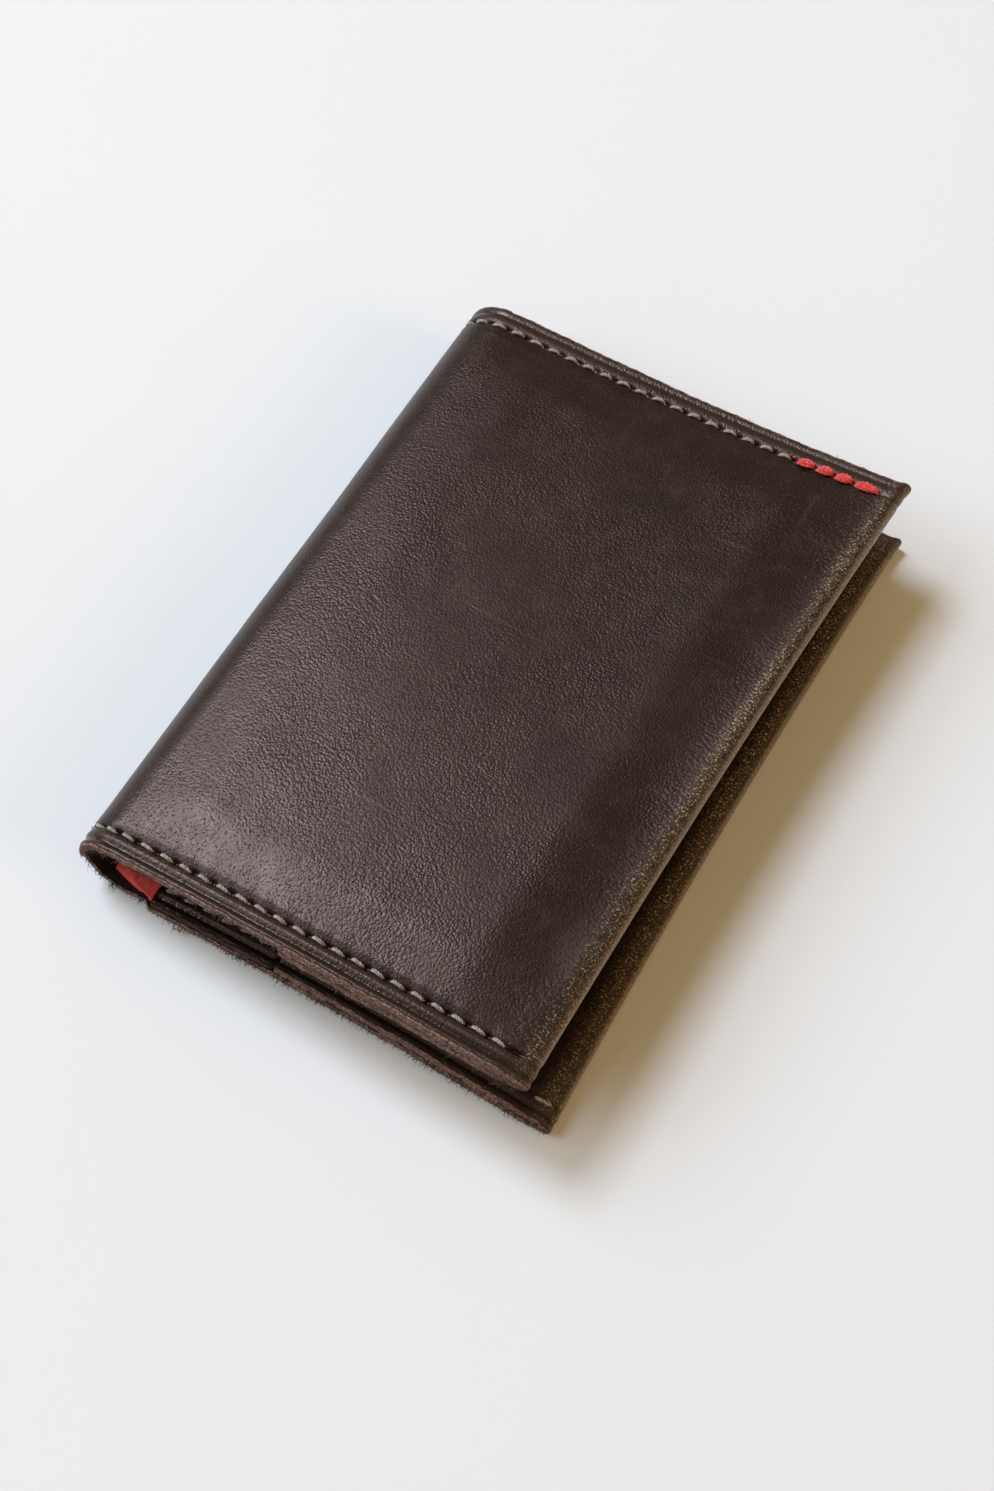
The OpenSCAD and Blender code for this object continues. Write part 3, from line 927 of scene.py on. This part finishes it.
# ---------------------------------------------------------------- loose fibres on the cut edges
def fibres(name, edge_pts, out_dirs, dens, lmin, lmax, seed, rad=0.02, down=0.0):
    """Short fibres that stand out of a cut edge. edge_pts are rows of points on it."""
    r = np.random.default_rng(seed)
    tb = Tubes()
    P, O = np.asarray(edge_pts), np.asarray(out_dirs)
    seg = np.concatenate([[0], np.cumsum(np.linalg.norm(np.diff(P, axis=0), axis=1))])
    n = int(seg[-1] * dens)
    for _ in range(n):
        q = r.uniform(0, seg[-1])
        clump = 0.5 + 0.5 * float(vnoise(q / 2.2, 0.3, seed))
        if r.uniform() > 0.35 + 0.65 * clump:
            continue
        i = min(int(np.searchsorted(seg, q)), len(P) - 1)
        p = P[i] + r.normal(0, 0.12, 3) * np.array([1, 0.2, 1])
        o = O[i]
        d = o + r.normal(0, 0.55, 3)
        d[2] -= down * r.uniform(0, 1)
        d /= np.linalg.norm(d)
        ln = r.uniform(lmin, lmax) * (0.5 + clump)
        curl = r.normal(0, 0.35, 3) * ln
        a = p - o * 0.12
        path = np.stack([a, a + d * ln * 0.5 + curl * 0.25, a + d * ln + curl])
        path[:, 2] = np.maximum(path[:, 2], 0.03)
        tb.add(path, [rad, rad * 0.8, rad * 0.25], 4, u0=q)
    return tb.make(name)


def edge_line(side, j, which, s_lo=0.0, s_hi=1e9, kinds=(0, 1, 2)):
    G, F, s_arr, kind = grids[side]
    ok = np.isin(kind, kinds) & (s_arr >= s_lo) & (s_arr <= s_hi)
    a = G[ok, j] * (1 - which) + F[ok, j] * which
    jj = 1 if j == 0 else -2
    o = G[ok, j] - G[ok, jj]
    o = o * np.array([1, 1, 0.3])
    o /= np.linalg.norm(o, axis=1, keepdims=True) + 1e-12
    return a, o


def many_lines(side, near):
    j = 0 if near else -1
    A, O = [], []
    for w in (0.15, 0.5, 0.9):
        a, o = edge_line(side, j, w)
        A.append(a)
        O.append(o)
    a, o = edge_line(side, j, 0.6, kinds=(3,))
    A.append(a)
    O.append(o)
    return A, O


fib = {}
for side in ("front", "back"):
    tb_all = None
    A, O = [], []
    for near in (True, False):
        a, o = many_lines(side, near)
        A += a
        O += o
    P = np.concatenate(A)
    D = np.concatenate(O)
    # each line is its own run: long jumps between lines carry no fibres
    tbs = []
    r0 = 100 if side == "front" else 200
    tb = Tubes()
    r = np.random.default_rng(r0)
    for a, o in zip(A, O):
        seg = np.concatenate([[0], np.cumsum(np.linalg.norm(np.diff(a, axis=0), axis=1))])
        far = a[:, 1].mean() > H / 2
        n = int(seg[-1] * (3.4 if side == "front" else 4.4) * (0.5 if far else 1.0))
        for _ in range(n):
            q = r.uniform(0, seg[-1])
            clump = 0.5 + 0.5 * float(vnoise(q / 2.3, 0.3, r0))
            if r.uniform() > 0.25 + 0.75 * clump:
                continue
            i = min(int(np.searchsorted(seg, q)), len(a) - 1)
            p = a[i] + r.normal(0, 0.10, 3) * np.array([1, 0.1, 1])
            d = o[i] + r.normal(0, 0.6, 3)
            if side == "back":
                d[2] -= 0.3
            d /= np.linalg.norm(d)
            ln = r.uniform(0.20, 0.60) * (0.55 + 0.7 * clump)
            if r.uniform() < 0.05:
                ln *= 1.8
            ln *= 0.55 if far else 1.0
            curl = r.normal(0, 0.4, 3) * ln
            p0 = p + o[i] * 0.05
            path = np.stack([p0 - o[i] * 0.1, p0 + d * ln * 0.55 + curl * 0.2, p0 + d * ln + curl * 0.8])
            path[:, 2] = np.maximum(path[:, 2], 0.03)
            w = r.uniform(0.018, 0.038) * (1.0 if far else 1.35)
            if not far:
                path = p0 + (path - p0) * 1.35
                path[:, 2] = np.maximum(path[:, 2], 0.04)
            tb.add(path, [w, w * 0.85, w * 0.3], 4, u0=q)
    fib[side] = tb.make(f"edge_fibres_{side}_half")

# a few bits of the sewing thread's ends by the near edge of the back
ends = Tubes()
for (xe, ln) in ((8.6, 0.9), (9.3, 0.6)):
    p, n, _ = surface_at("back", np.array([S_ARC + xe]), 0.0)
    a = p[0] + np.array([0, -0.05, 0.35])
    ends.add(np.stack([a + [0, 0.2, 0], a + [0.12, -0.50, 0.1], a + [0.45, -0.72, -0.05], a + [ln, -0.40, -0.12]]), [0.13, 0.15, 0.15, 0.10], 7)
loose_ends = ends.make("loose_thread_ends")

# ---------------------------------------------------------------- materials
def new_mat(name):
    m = bpy.data.materials.new(name)
    m.use_nodes = True
    nt = m.node_tree
    nt.nodes.clear()
    out = nt.nodes.new("ShaderNodeOutputMaterial")
    b = nt.nodes.new("ShaderNodeBsdfPrincipled")
    nt.links.new(b.outputs[0], out.inputs[0])
    return m, nt, b


def N_(nt, kind, **kw):
    n = nt.nodes.new(kind)
    for k, v in kw.items():
        if k in n.inputs:
            n.inputs[k].default_value = v
        else:
            setattr(n, k, v)
    return n


def mix(nt, a, b, fac, mode="MIX"):
    n = nt.nodes.new("ShaderNodeMix")
    n.data_type = "RGBA"
    n.blend_type = mode
    n.clamp_factor = True
    for sock, val in ((n.inputs[6], a), (n.inputs[7], b), (n.inputs[0], fac)):
        if hasattr(val, "is_linked") or hasattr(val, "links"):
            nt.links.new(val, sock)
        else:
            sock.default_value = val if not isinstance(val, tuple) or len(val) == 4 else (*val, 1)
    return n.outputs[2]


def math_(nt, op, a, b=None, c=None, clamp=False):
    n = nt.nodes.new("ShaderNodeMath")
    n.operation = op
    n.use_clamp = clamp
    for i, v in enumerate((a, b, c)):
        if v is None:
            continue
        if hasattr(v, "links"):
            nt.links.new(v, n.inputs[i])
        else:
            n.inputs[i].default_value = v
    return n.outputs[0]


def ramp(nt, fac, stops):
    n = nt.nodes.new("ShaderNodeValToRGB")
    cr = n.color_ramp
    while len(cr.elements) > 1:
        cr.elements.remove(cr.elements[-1])
    cr.elements[0].position = stops[0][0]
    cr.elements[0].color = (*stops[0][1], 1) if len(stops[0][1]) == 3 else stops[0][1]
    for p, c in stops[1:]:
        e = cr.elements.new(p)
        e.color = (*c, 1)
    nt.links.new(fac, n.inputs[0])
    return n.outputs[0]


def grey(nt, fac, a, b, va=0.0, vb=1.0):
    n = nt.nodes.new("ShaderNodeMapRange")
    n.clamp = True
    n.interpolation_type = "SMOOTHSTEP"
    nt.links.new(fac, n.inputs[0])
    n.inputs[1].default_value, n.inputs[2].default_value = a, b
    n.inputs[3].default_value, n.inputs[4].default_value = va, vb
    return n.outputs[0]


def attr(nt, name):
    n = nt.nodes.new("ShaderNodeAttribute")
    n.attribute_name = name
    return n.outputs["Fac"]


def uvmap(nt, scale=(10, 10, 10), loc=(0, 0, 0), rot=(0, 0, 0)):
    """The flattened leather's own coordinates, in mm."""
    u = nt.nodes.new("ShaderNodeUVMap")
    u.uv_map = "flat"
    m = nt.nodes.new("ShaderNodeMapping")
    m.inputs["Scale"].default_value = scale
    m.inputs["Location"].default_value = loc
    m.inputs["Rotation"].default_value = rot
    nt.links.new(u.outputs[0], m.inputs[0])
    return m.outputs[0]


def noise(nt, vec, scale, detail=4.0, rough=0.55, dist=0.0):
    n = nt.nodes.new("ShaderNodeTexNoise")
    n.noise_dimensions = "3D"
    n.inputs["Scale"].default_value = scale
    n.inputs["Detail"].default_value = detail
    n.inputs["Roughness"].default_value = rough
    n.inputs["Distortion"].default_value = dist
    nt.links.new(vec, n.inputs["Vector"])
    return n.outputs["Fac"]


def voronoi(nt, vec, scale, feature="F1", rand=1.0):
    n = nt.nodes.new("ShaderNodeTexVoronoi")
    n.feature = feature
    n.inputs["Scale"].default_value = scale
    n.inputs["Randomness"].default_value = rand
    nt.links.new(vec, n.inputs["Vector"])
    return n.outputs["Distance"]


def bump(nt, height, strength, distance, normal=None):
    n = nt.nodes.new("ShaderNodeBump")
    n.inputs["Strength"].default_value = strength
    n.inputs["Distance"].default_value = distance
    nt.links.new(height, n.inputs["Height"])
    if normal is not None:
        nt.links.new(normal, n.inputs["Normal"])
    return n.outputs[0]


def leather(name, tone=1.0, raw_col=((0.17, 0.094, 0.074, 1), (0.58, 0.36, 0.29, 1), (0.026, 0.012, 0.009, 1))):
    """Waxed pull-up leather: dark brown with patches, pebble grain, scratches and specks; worn golden folds with a
    painted highlight; a painted pale highlight on the tip of the turned edge; painted shade along the seams and in
    the stitch holes; a fibrous cut edge; a nearly black flesh side."""
    m, nt, b = new_mat(name)
    uv = uvmap(nt)
    raw, flesh, fold, edge, seam, crease, tip, hole = (
        attr(nt, k) for k in ("raw", "flesh", "fold", "edge", "seam", "crease", "tip", "hole"))
    # colour of the grain side
    big = noise(nt, uv, 0.045, 3, 0.5, 0.6)
    mid = noise(nt, uv, 0.22, 4, 0.6, 0.4)
    fine = noise(nt, uv, 1.9, 3, 0.65)
    dark = (0.0064 * tone, 0.0039 * tone, 0.0039 * tone, 1)
    base = (0.0122 * tone, 0.0074 * tone, 0.0070 * tone, 1)
    rust = (0.032 * tone, 0.0145 * tone, 0.0100 * tone, 1)
    c = mix(nt, dark, base, grey(nt, big, 0.35, 0.66))
    c = mix(nt, c, rust, math_(nt, "MULTIPLY", grey(nt, mid, 0.50, 0.74), 0.55))
    c = mix(nt, c, base, math_(nt, "MULTIPLY", grey(nt, fine, 0.55, 0.8), 0.5))
    # olive cast in places
    olive = noise(nt, uvmap(nt, loc=(3, 7, 0)), 0.07, 3, 0.5)
    c = mix(nt, c, (0.0150 * tone, 0.0115 * tone, 0.0080 * tone, 1), math_(nt, "MULTIPLY", grey(nt, olive, 0.5, 0.72), 0.25))
    dots = grey(nt, voronoi(nt, uv, 2.1), 0.29, 0.14)
    c = mix(nt, c, (0.0035, 0.0022, 0.0020, 1), math_(nt, "MULTIPLY", dots, 0.85))
    # pale specks of wax and dust
    speck = voronoi(nt, uvmap(nt, loc=(1.3, 0.2, 0)), 0.62)
    sp = grey(nt, speck, 0.075, 0.035)
    c = mix(nt, c, (0.16, 0.135, 0.11, 1), math_(nt, "MULTIPLY", sp, 0.5))
    dust = grey(nt, voronoi(nt, uvmap(nt, loc=(0.4, 5.2, 0)), 1.05), 0.10, 0.05)
    c = mix(nt, c, (0.12, 0.095, 0.075, 1), math_(nt, "MULTIPLY", dust, 0.55))
    # fine scratches: long thin marks that lie two ways
    scr = noise(nt, uvmap(nt, scale=(2.2, 26, 10), rot=(0, 0, 0.62)), 0.16, 3, 0.6, 0.5)
    sc1 = grey(nt, scr, 0.655, 0.70)
    scr2 = noise(nt, uvmap(nt, scale=(24, 2.6, 10), rot=(0, 0, -0.35)), 0.14, 3, 0.6, 0.4)
    sc2 = grey(nt, scr2, 0.68, 0.73)
    scrm = math_(nt, "MAXIMUM", sc1, sc2)
    c = mix(nt, c, (0.075, 0.055, 0.043, 1), math_(nt, "MULTIPLY", scrm, 0.18))
    # worn golden folds, with a painted warm highlight and painted sparkle where the grain stands up
    grain_v = voronoi(nt, uv, 1.75, "SMOOTH_F1")
    sparkle_highlight = noise(nt, uv, 3.4, 2, 0.7)
    gold_wear_and_highlight = mix(nt, (0.060, 0.044, 0.029, 1), (0.88, 0.69, 0.43, 1), grey(nt, sparkle_highlight, 0.52, 0.68))
    fold_wear_highlight_mask = math_(nt, "MULTIPLY", fold, grey(nt, noise(nt, uv, 0.9, 4, 0.65), 0.25, 0.62))
    c = mix(nt, c, gold_wear_and_highlight, math_(nt, "MULTIPLY", fold_wear_highlight_mask, 0.90))
    # a painted pale highlight along the tip of the turned edge
    tip_painted_highlight = mix(nt, (0.10, 0.082, 0.064, 1), (0.34, 0.285, 0.225, 1), grey(nt, noise(nt, uv, 2.4, 4, 0.7), 0.38, 0.66))
    c = mix(nt, c, tip_painted_highlight, math_(nt, "MULTIPLY", tip, 0.85))
    # edge line: dark in the pressed line, browner on its ridges
    c = mix(nt, c, (0.034, 0.021, 0.0155, 1), math_(nt, "MULTIPLY", edge, 0.55))
    c = mix(nt, c, (0.0065, 0.0047, 0.0045, 1), math_(nt, "MULTIPLY", crease, 0.80))
    # painted shade along the seam groove and, darker still, in the stitch holes
    c = mix(nt, c, (0.005, 0.0034, 0.003, 1), math_(nt, "MULTIPLY", seam, 0.60))
    c = mix(nt, c, (0.0012, 0.0010, 0.0010, 1), grey(nt, hole, 0.15, 0.7))
    # cut edge
    rv = uvmap(nt, scale=(10, 12, 10))
    r1 = noise(nt, rv, 2.3, 5, 0.76, 0.9)
    r2 = voronoi(nt, rv, 2.2)
    rc = mix(nt, raw_col[0], raw_col[1], grey(nt, r1, 0.44, 0.62))
    rc = mix(nt, rc, raw_col[2], math_(nt, "MULTIPLY", grey(nt, r2, 0.34, 0.12), 0.8))
    # flesh side
    f1 = noise(nt, uvmap(nt, scale=(10, 14, 10)), 1.3, 5, 0.7, 0.3)
    fc = mix(nt, (0.0026, 0.0021, 0.0020, 1), (0.0130, 0.0092, 0.0078, 1), grey(nt, f1, 0.42, 0.75))
    c = mix(nt, c, fc, flesh)
    c = mix(nt, c, rc, grey(nt, raw, 0.3, 0.8))
    nt.links.new(c, b.inputs["Base Color"])
    # gloss
    ro = grey(nt, mid, 0.3, 0.75, 0.31, 0.375)
    ro = math_(nt, "ADD", ro, math_(nt, "MULTIPLY", grey(nt, fine, 0.4, 0.8), 0.05))
    ro = math_(nt, "SUBTRACT", ro, math_(nt, "MULTIPLY", crease, 0.14))
    rough_m = math_(nt, "MAXIMUM", raw, flesh)
    ro = math_(nt, "ADD", ro, math_(nt, "MULTIPLY", rough_m, 0.42), clamp=True)
    nt.links.new(ro, b.inputs["Roughness"])
    b.inputs["IOR"].default_value = 1.5
    b.inputs["Specular IOR Level"].default_value = 0.5
    b.inputs["Specular Tint"].default_value = (1.0, 0.68, 0.58, 1)
    # relief: pebbles, wrinkles, pores, scratches; fibres on the cut and flesh sides
    pebv = nt.nodes.new("ShaderNodeTexVoronoi")
    pebv.feature = "SMOOTH_F1"
    pebv.inputs["Scale"].default_value = 2.6
    pebv.inputs["Smoothness"].default_value = 0.25
    wob = nt.nodes.new("ShaderNodeVectorMath")
    wob.operation = "ADD"
    wn = nt.nodes.new("ShaderNodeTexNoise")
    wn.inputs["Scale"].default_value = 0.9
    wn.inputs["Detail"].default_value = 2
    nt.links.new(uv, wn.inputs["Vector"])
    sub = nt.nodes.new("ShaderNodeVectorMath")
    sub.operation = "SCALE"
    sub.inputs["Scale"].default_value = 0.28
    nt.links.new(wn.outputs["Color"], sub.inputs[0])
    nt.links.new(uv, wob.inputs[0])
    nt.links.new(sub.outputs[0], wob.inputs[1])
    nt.links.new(wob.outputs[0], pebv.inputs["Vector"])
    peb = math_(nt, "MULTIPLY", pebv.outputs["Distance"], -1.25)
    wr = noise(nt, uvmap(nt, scale=(10, 7.0, 10), rot=(0, 0, 0.5)), 2.9, 4, 0.62, 0.4)
    pore = grey(nt, voronoi(nt, uv, 2.1), 0.29, 0.12)
    area = grey(nt, noise(nt, uvmap(nt, loc=(9, 2, 0)), 0.06, 2, 0.5), 0.35, 0.65, 0.45, 1.0)
    h = math_(nt, "ADD", peb, math_(nt, "MULTIPLY", wr, 0.16))
    h = math_(nt, "MULTIPLY", h, area)
    h = math_(nt, "SUBTRACT", h, math_(nt, "MULTIPLY", pore, 0.9))
    h = math_(nt, "SUBTRACT", h, math_(nt, "MULTIPLY", scrm, 0.22))
    h = math_(nt, "ADD", h, math_(nt, "MULTIPLY", fine, 0.16))
    hb = math_(nt, "MULTIPLY", math_(nt, "ADD", r1, math_(nt, "MULTIPLY", r2, 0.8)), 13.0)
    hm = nt.nodes.new("ShaderNodeMix")
    hm.data_type = "FLOAT"
    nt.links.new(rough_m, hm.inputs[0])
    nt.links.new(h, hm.inputs[2])
    nt.links.new(hb, hm.inputs[3])
    nt.links.new(bump(nt, hm.outputs[0], 1.0, 0.000042), b.inputs["Normal"])
    return m


def thread_mat(name, c0, c1, c2, rough=0.62, sheen=0.25):
    m, nt, b = new_mat(name)
    uv = uvmap(nt, scale=(10, 10, 10))
    st = noise(nt, uvmap(nt, scale=(14, 60, 10), rot=(0, 0, 0.25)), 1.0, 4, 0.65)
    pt = noise(nt, uv, 0.5, 3, 0.5)
    c = mix(nt, c0, c1, grey(nt, st, 0.35, 0.68))
    c = mix(nt, c, c2, math_(nt, "MULTIPLY", grey(nt, pt, 0.45, 0.75), 0.55))
    nt.links.new(c, b.inputs["Base Color"])
    b.inputs["Roughness"].default_value = rough
    b.inputs["Sheen Weight"].default_value = sheen
    b.inputs["Sheen Roughness"].default_value = 0.5
    nt.links.new(bump(nt, st, 0.7, 0.00004), b.inputs["Normal"])
    return m


def ribbon_mat():
    m, nt, b = new_mat("red_ribbon")
    uv = uvmap(nt)
    w1 = nt.nodes.new("ShaderNodeTexWave")
    w1.wave_type = "BANDS"
    w1.bands_direction = "X"
    w1.inputs["Scale"].default_value = 1.1
    w1.inputs["Distortion"].default_value = 0.7
    w1.inputs["Detail"].default_value = 2
    nt.links.new(uv, w1.inputs["Vector"])
    w2 = nt.nodes.new("ShaderNodeTexWave")
    w2.wave_type = "BANDS"
    w2.bands_direction = "Y"
    w2.inputs["Scale"].default_value = 1.6
    w2.inputs["Distortion"].default_value = 0.5
    nt.links.new(uv, w2.inputs["Vector"])
    weave = math_(nt, "MULTIPLY", w1.outputs["Fac"], w2.outputs["Fac"])
    n1 = noise(nt, uv, 0.8, 4, 0.6)
    c = mix(nt, (0.70, 0.030, 0.026, 1), (0.98, 0.075, 0.060, 1), grey(nt, weave, 0.05, 0.6))
    c = mix(nt, c, (0.95, 0.20, 0.16, 1), math_(nt, "MULTIPLY", grey(nt, n1, 0.5, 0.75), 0.6))
    nt.links.new(c, b.inputs["Base Color"])
    b.inputs["Roughness"].default_value = 0.6
    b.inputs["Sheen Weight"].default_value = 0.3
    nt.links.new(bump(nt, weave, 0.8, 0.00008), b.inputs["Normal"])
    return m


def fibre_mat(name, a, c):
    m, nt, b = new_mat(name)
    n1 = noise(nt, uvmap(nt, scale=(10, 10, 10)), 0.7, 3, 0.6)
    nt.links.new(mix(nt, a, c, grey(nt, n1, 0.35, 0.7)), b.inputs["Base Color"])
    b.inputs["Roughness"].default_value = 0.8
    return m


m_outer = leather("waxed_leather")
# the same leather made darker, with a far darker cut edge: painted shade for the pocket lying inside the case
m_pocket_shaded = leather("pocket_leather", tone=0.8, raw_col=((0.06, 0.035, 0.028, 1), (0.15, 0.09, 0.07, 1), (0.02, 0.012, 0.01, 1)))
m_thread = thread_mat("grey_thread", (0.14, 0.108, 0.092, 1), (0.56, 0.47, 0.42, 1), (0.30, 0.24, 0.21, 1))
m_red = thread_mat("red_thread", (0.42, 0.012, 0.011, 1), (0.97, 0.085, 0.065, 1), (0.70, 0.03, 0.026, 1), rough=0.45)
m_rib = ribbon_mat()
m_fib = fibre_mat("leather_fibres", (0.035, 0.020, 0.015, 1), (0.16, 0.095, 0.07, 1))
m_fib2 = fibre_mat("leather_fibres_dark", (0.010, 0.006, 0.005, 1), (0.060, 0.036, 0.028, 1))


def paint(ob, m):
    ob.data.materials.clear()
    ob.data.materials.append(m)


paint(grids["back_obj"], m_outer)
paint(grids["front_obj"], m_outer)
paint(pocket, m_pocket_shaded)
paint(tag, m_rib)
paint(accent, m_red)
paint(fib["front"], m_fib)
paint(fib["back"], m_fib2)
paint(loose_ends, m_thread)
for ob in pieces_seams.values():
    paint(ob, m_thread)

# ---------------------------------------------------------------- bodies
AXm = AX * 0.001
bend_back = dict(start=(AXm - 0.0010, 0, 0.0), end=(AXm - 0.0056, 0, 0.0056))
bend_front = dict(start=(AXm - 0.0056, 0, 0.0072), end=(AXm - 0.0010, 0, 0.0128))
for side, a, b_, kw in (("back", "back_cover", "spine", bend_back), ("front", "spine", "front_cover", bend_front)):
    for ob in (grids[side + "_obj"], pieces_seams[side + "_bend"], fib[side]):
        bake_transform(ob)
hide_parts("back_panel", "back_turned_flap", "spine_strip")
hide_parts("front_panel", "front_turned_flap", "spine_strip")
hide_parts("spine_stitches")
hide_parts("spine_stitches")
for side, body in (("back", "back_cover"), ("front", "front_cover")):
    for end in ("near", "far"):
        ob = pieces_seams[f"{side}_{end}"]
        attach(ob, body)
        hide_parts(f"{side}_{end}_seam")
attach(pocket, "back_cover")
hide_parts("t_pocket")
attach(accent, "front_cover")
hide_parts("accent_stitches")
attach(tag, "back_cover")
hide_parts("tag_loop")
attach(loose_ends, "back_cover")

# ---------------------------------------------------------------- floor
def floor_mat():
    m, nt, b = new_mat("pale_paper")
    tc = nt.nodes.new("ShaderNodeTexCoord")
    n1 = noise(nt, tc.outputs["Object"], 900, 4, 0.6)
    n2 = noise(nt, tc.outputs["Object"], 14, 3, 0.5)
    c = mix(nt, (0.80, 0.80, 0.80, 1), (0.83, 0.83, 0.83, 1), n2)
    nt.links.new(c, b.inputs["Base Color"])
    b.inputs["Roughness"].default_value = 0.9
    b.inputs["Specular IOR Level"].default_value = 0.2
    nt.links.new(bump(nt, n1, 0.25, 0.0002), b.inputs["Normal"])
    return m


me = bpy.data.meshes.new("floor")
q = 3.0
me.from_pydata([(-q, -q, 0), (q, -q, 0), (q, q, 0), (-q, q, 0)], [], [(0, 1, 2, 3)])
floor = bpy.data.objects.new("floor", me)
scn.collection.objects.link(floor)
paint(floor, floor_mat())

# ---------------------------------------------------------------- light
def area(name, direction, dist, size, power, color, size_y=None, target=(0, 0, 0.005)):
    li = bpy.data.lights.new(name, "AREA")
    li.shape = "RECTANGLE"
    li.size = size
    li.size_y = size_y or size
    li.energy = power
    li.color = color
    ob = bpy.data.objects.new(name, li)
    d = Vector(direction).normalized()
    ob.location = Vector(target) + d * dist
    ob.rotation_euler = (-d).to_track_quat("-Z", "Y").to_euler()
    scn.collection.objects.link(ob)
    return ob


area("window", (-0.73, -0.17, 0.65), 2.4, 2.5, 48.0, (0.67, 0.82, 1.0), size_y=1.4)
area("window_top", (-0.54, 0.16, 0.83), 2.4, 0.7, 32.0, (0.75, 0.85, 1.0), size_y=0.7)
area("lamp", (0.88, 0.05, 0.42), 2.2, 0.8, 12.0, (1.0, 0.64, 0.30))
world = bpy.data.worlds.new("room")
world.use_nodes = True
bg = world.node_tree.nodes.get("Background") or world.node_tree.nodes.new("ShaderNodeBackground")
bg.inputs[0].default_value = (1.0, 0.74, 0.38, 1)
bg.inputs[1].default_value = 0.31
scn.world = world

# ---------------------------------------------------------------- camera
cam_d = bpy.data.cameras.new("camera")
cam_d.sensor_fit = "AUTO"
cam_d.sensor_width = 36.0
cam_d.lens = 2182.587 / 1491.0 * 36.0
cam_d.clip_start, cam_d.clip_end = 0.01, 20
cam_d.dof.use_dof = False
cam = bpy.data.objects.new("camera", cam_d)
right = Vector((0.8629231029850303, 0.5053073620758292, 0.005309252928021313))
down = Vector((0.4503460396717235, -0.7642135327885193, -0.4616991670502408))
fwd = Vector((-0.22924258523817376, 0.4008018789063475, -0.8870206823848366))
cpos = row([103.02112718663531, -78.02944505698773, 274.1011962381276])
M = Matrix(((right.x, -down.x, -fwd.x, cpos[0]), (right.y, -down.y, -fwd.y, cpos[1]),
            (right.z, -down.z, -fwd.z, cpos[2]), (0, 0, 0, 1)))
cam.matrix_world = M
scn.collection.objects.link(cam)
scn.camera = cam
scn.view_settings.view_transform = "Standard"
scn.view_settings.look = "None"
scn.view_settings.exposure = 0.0
scn.view_settings.gamma = 1.0
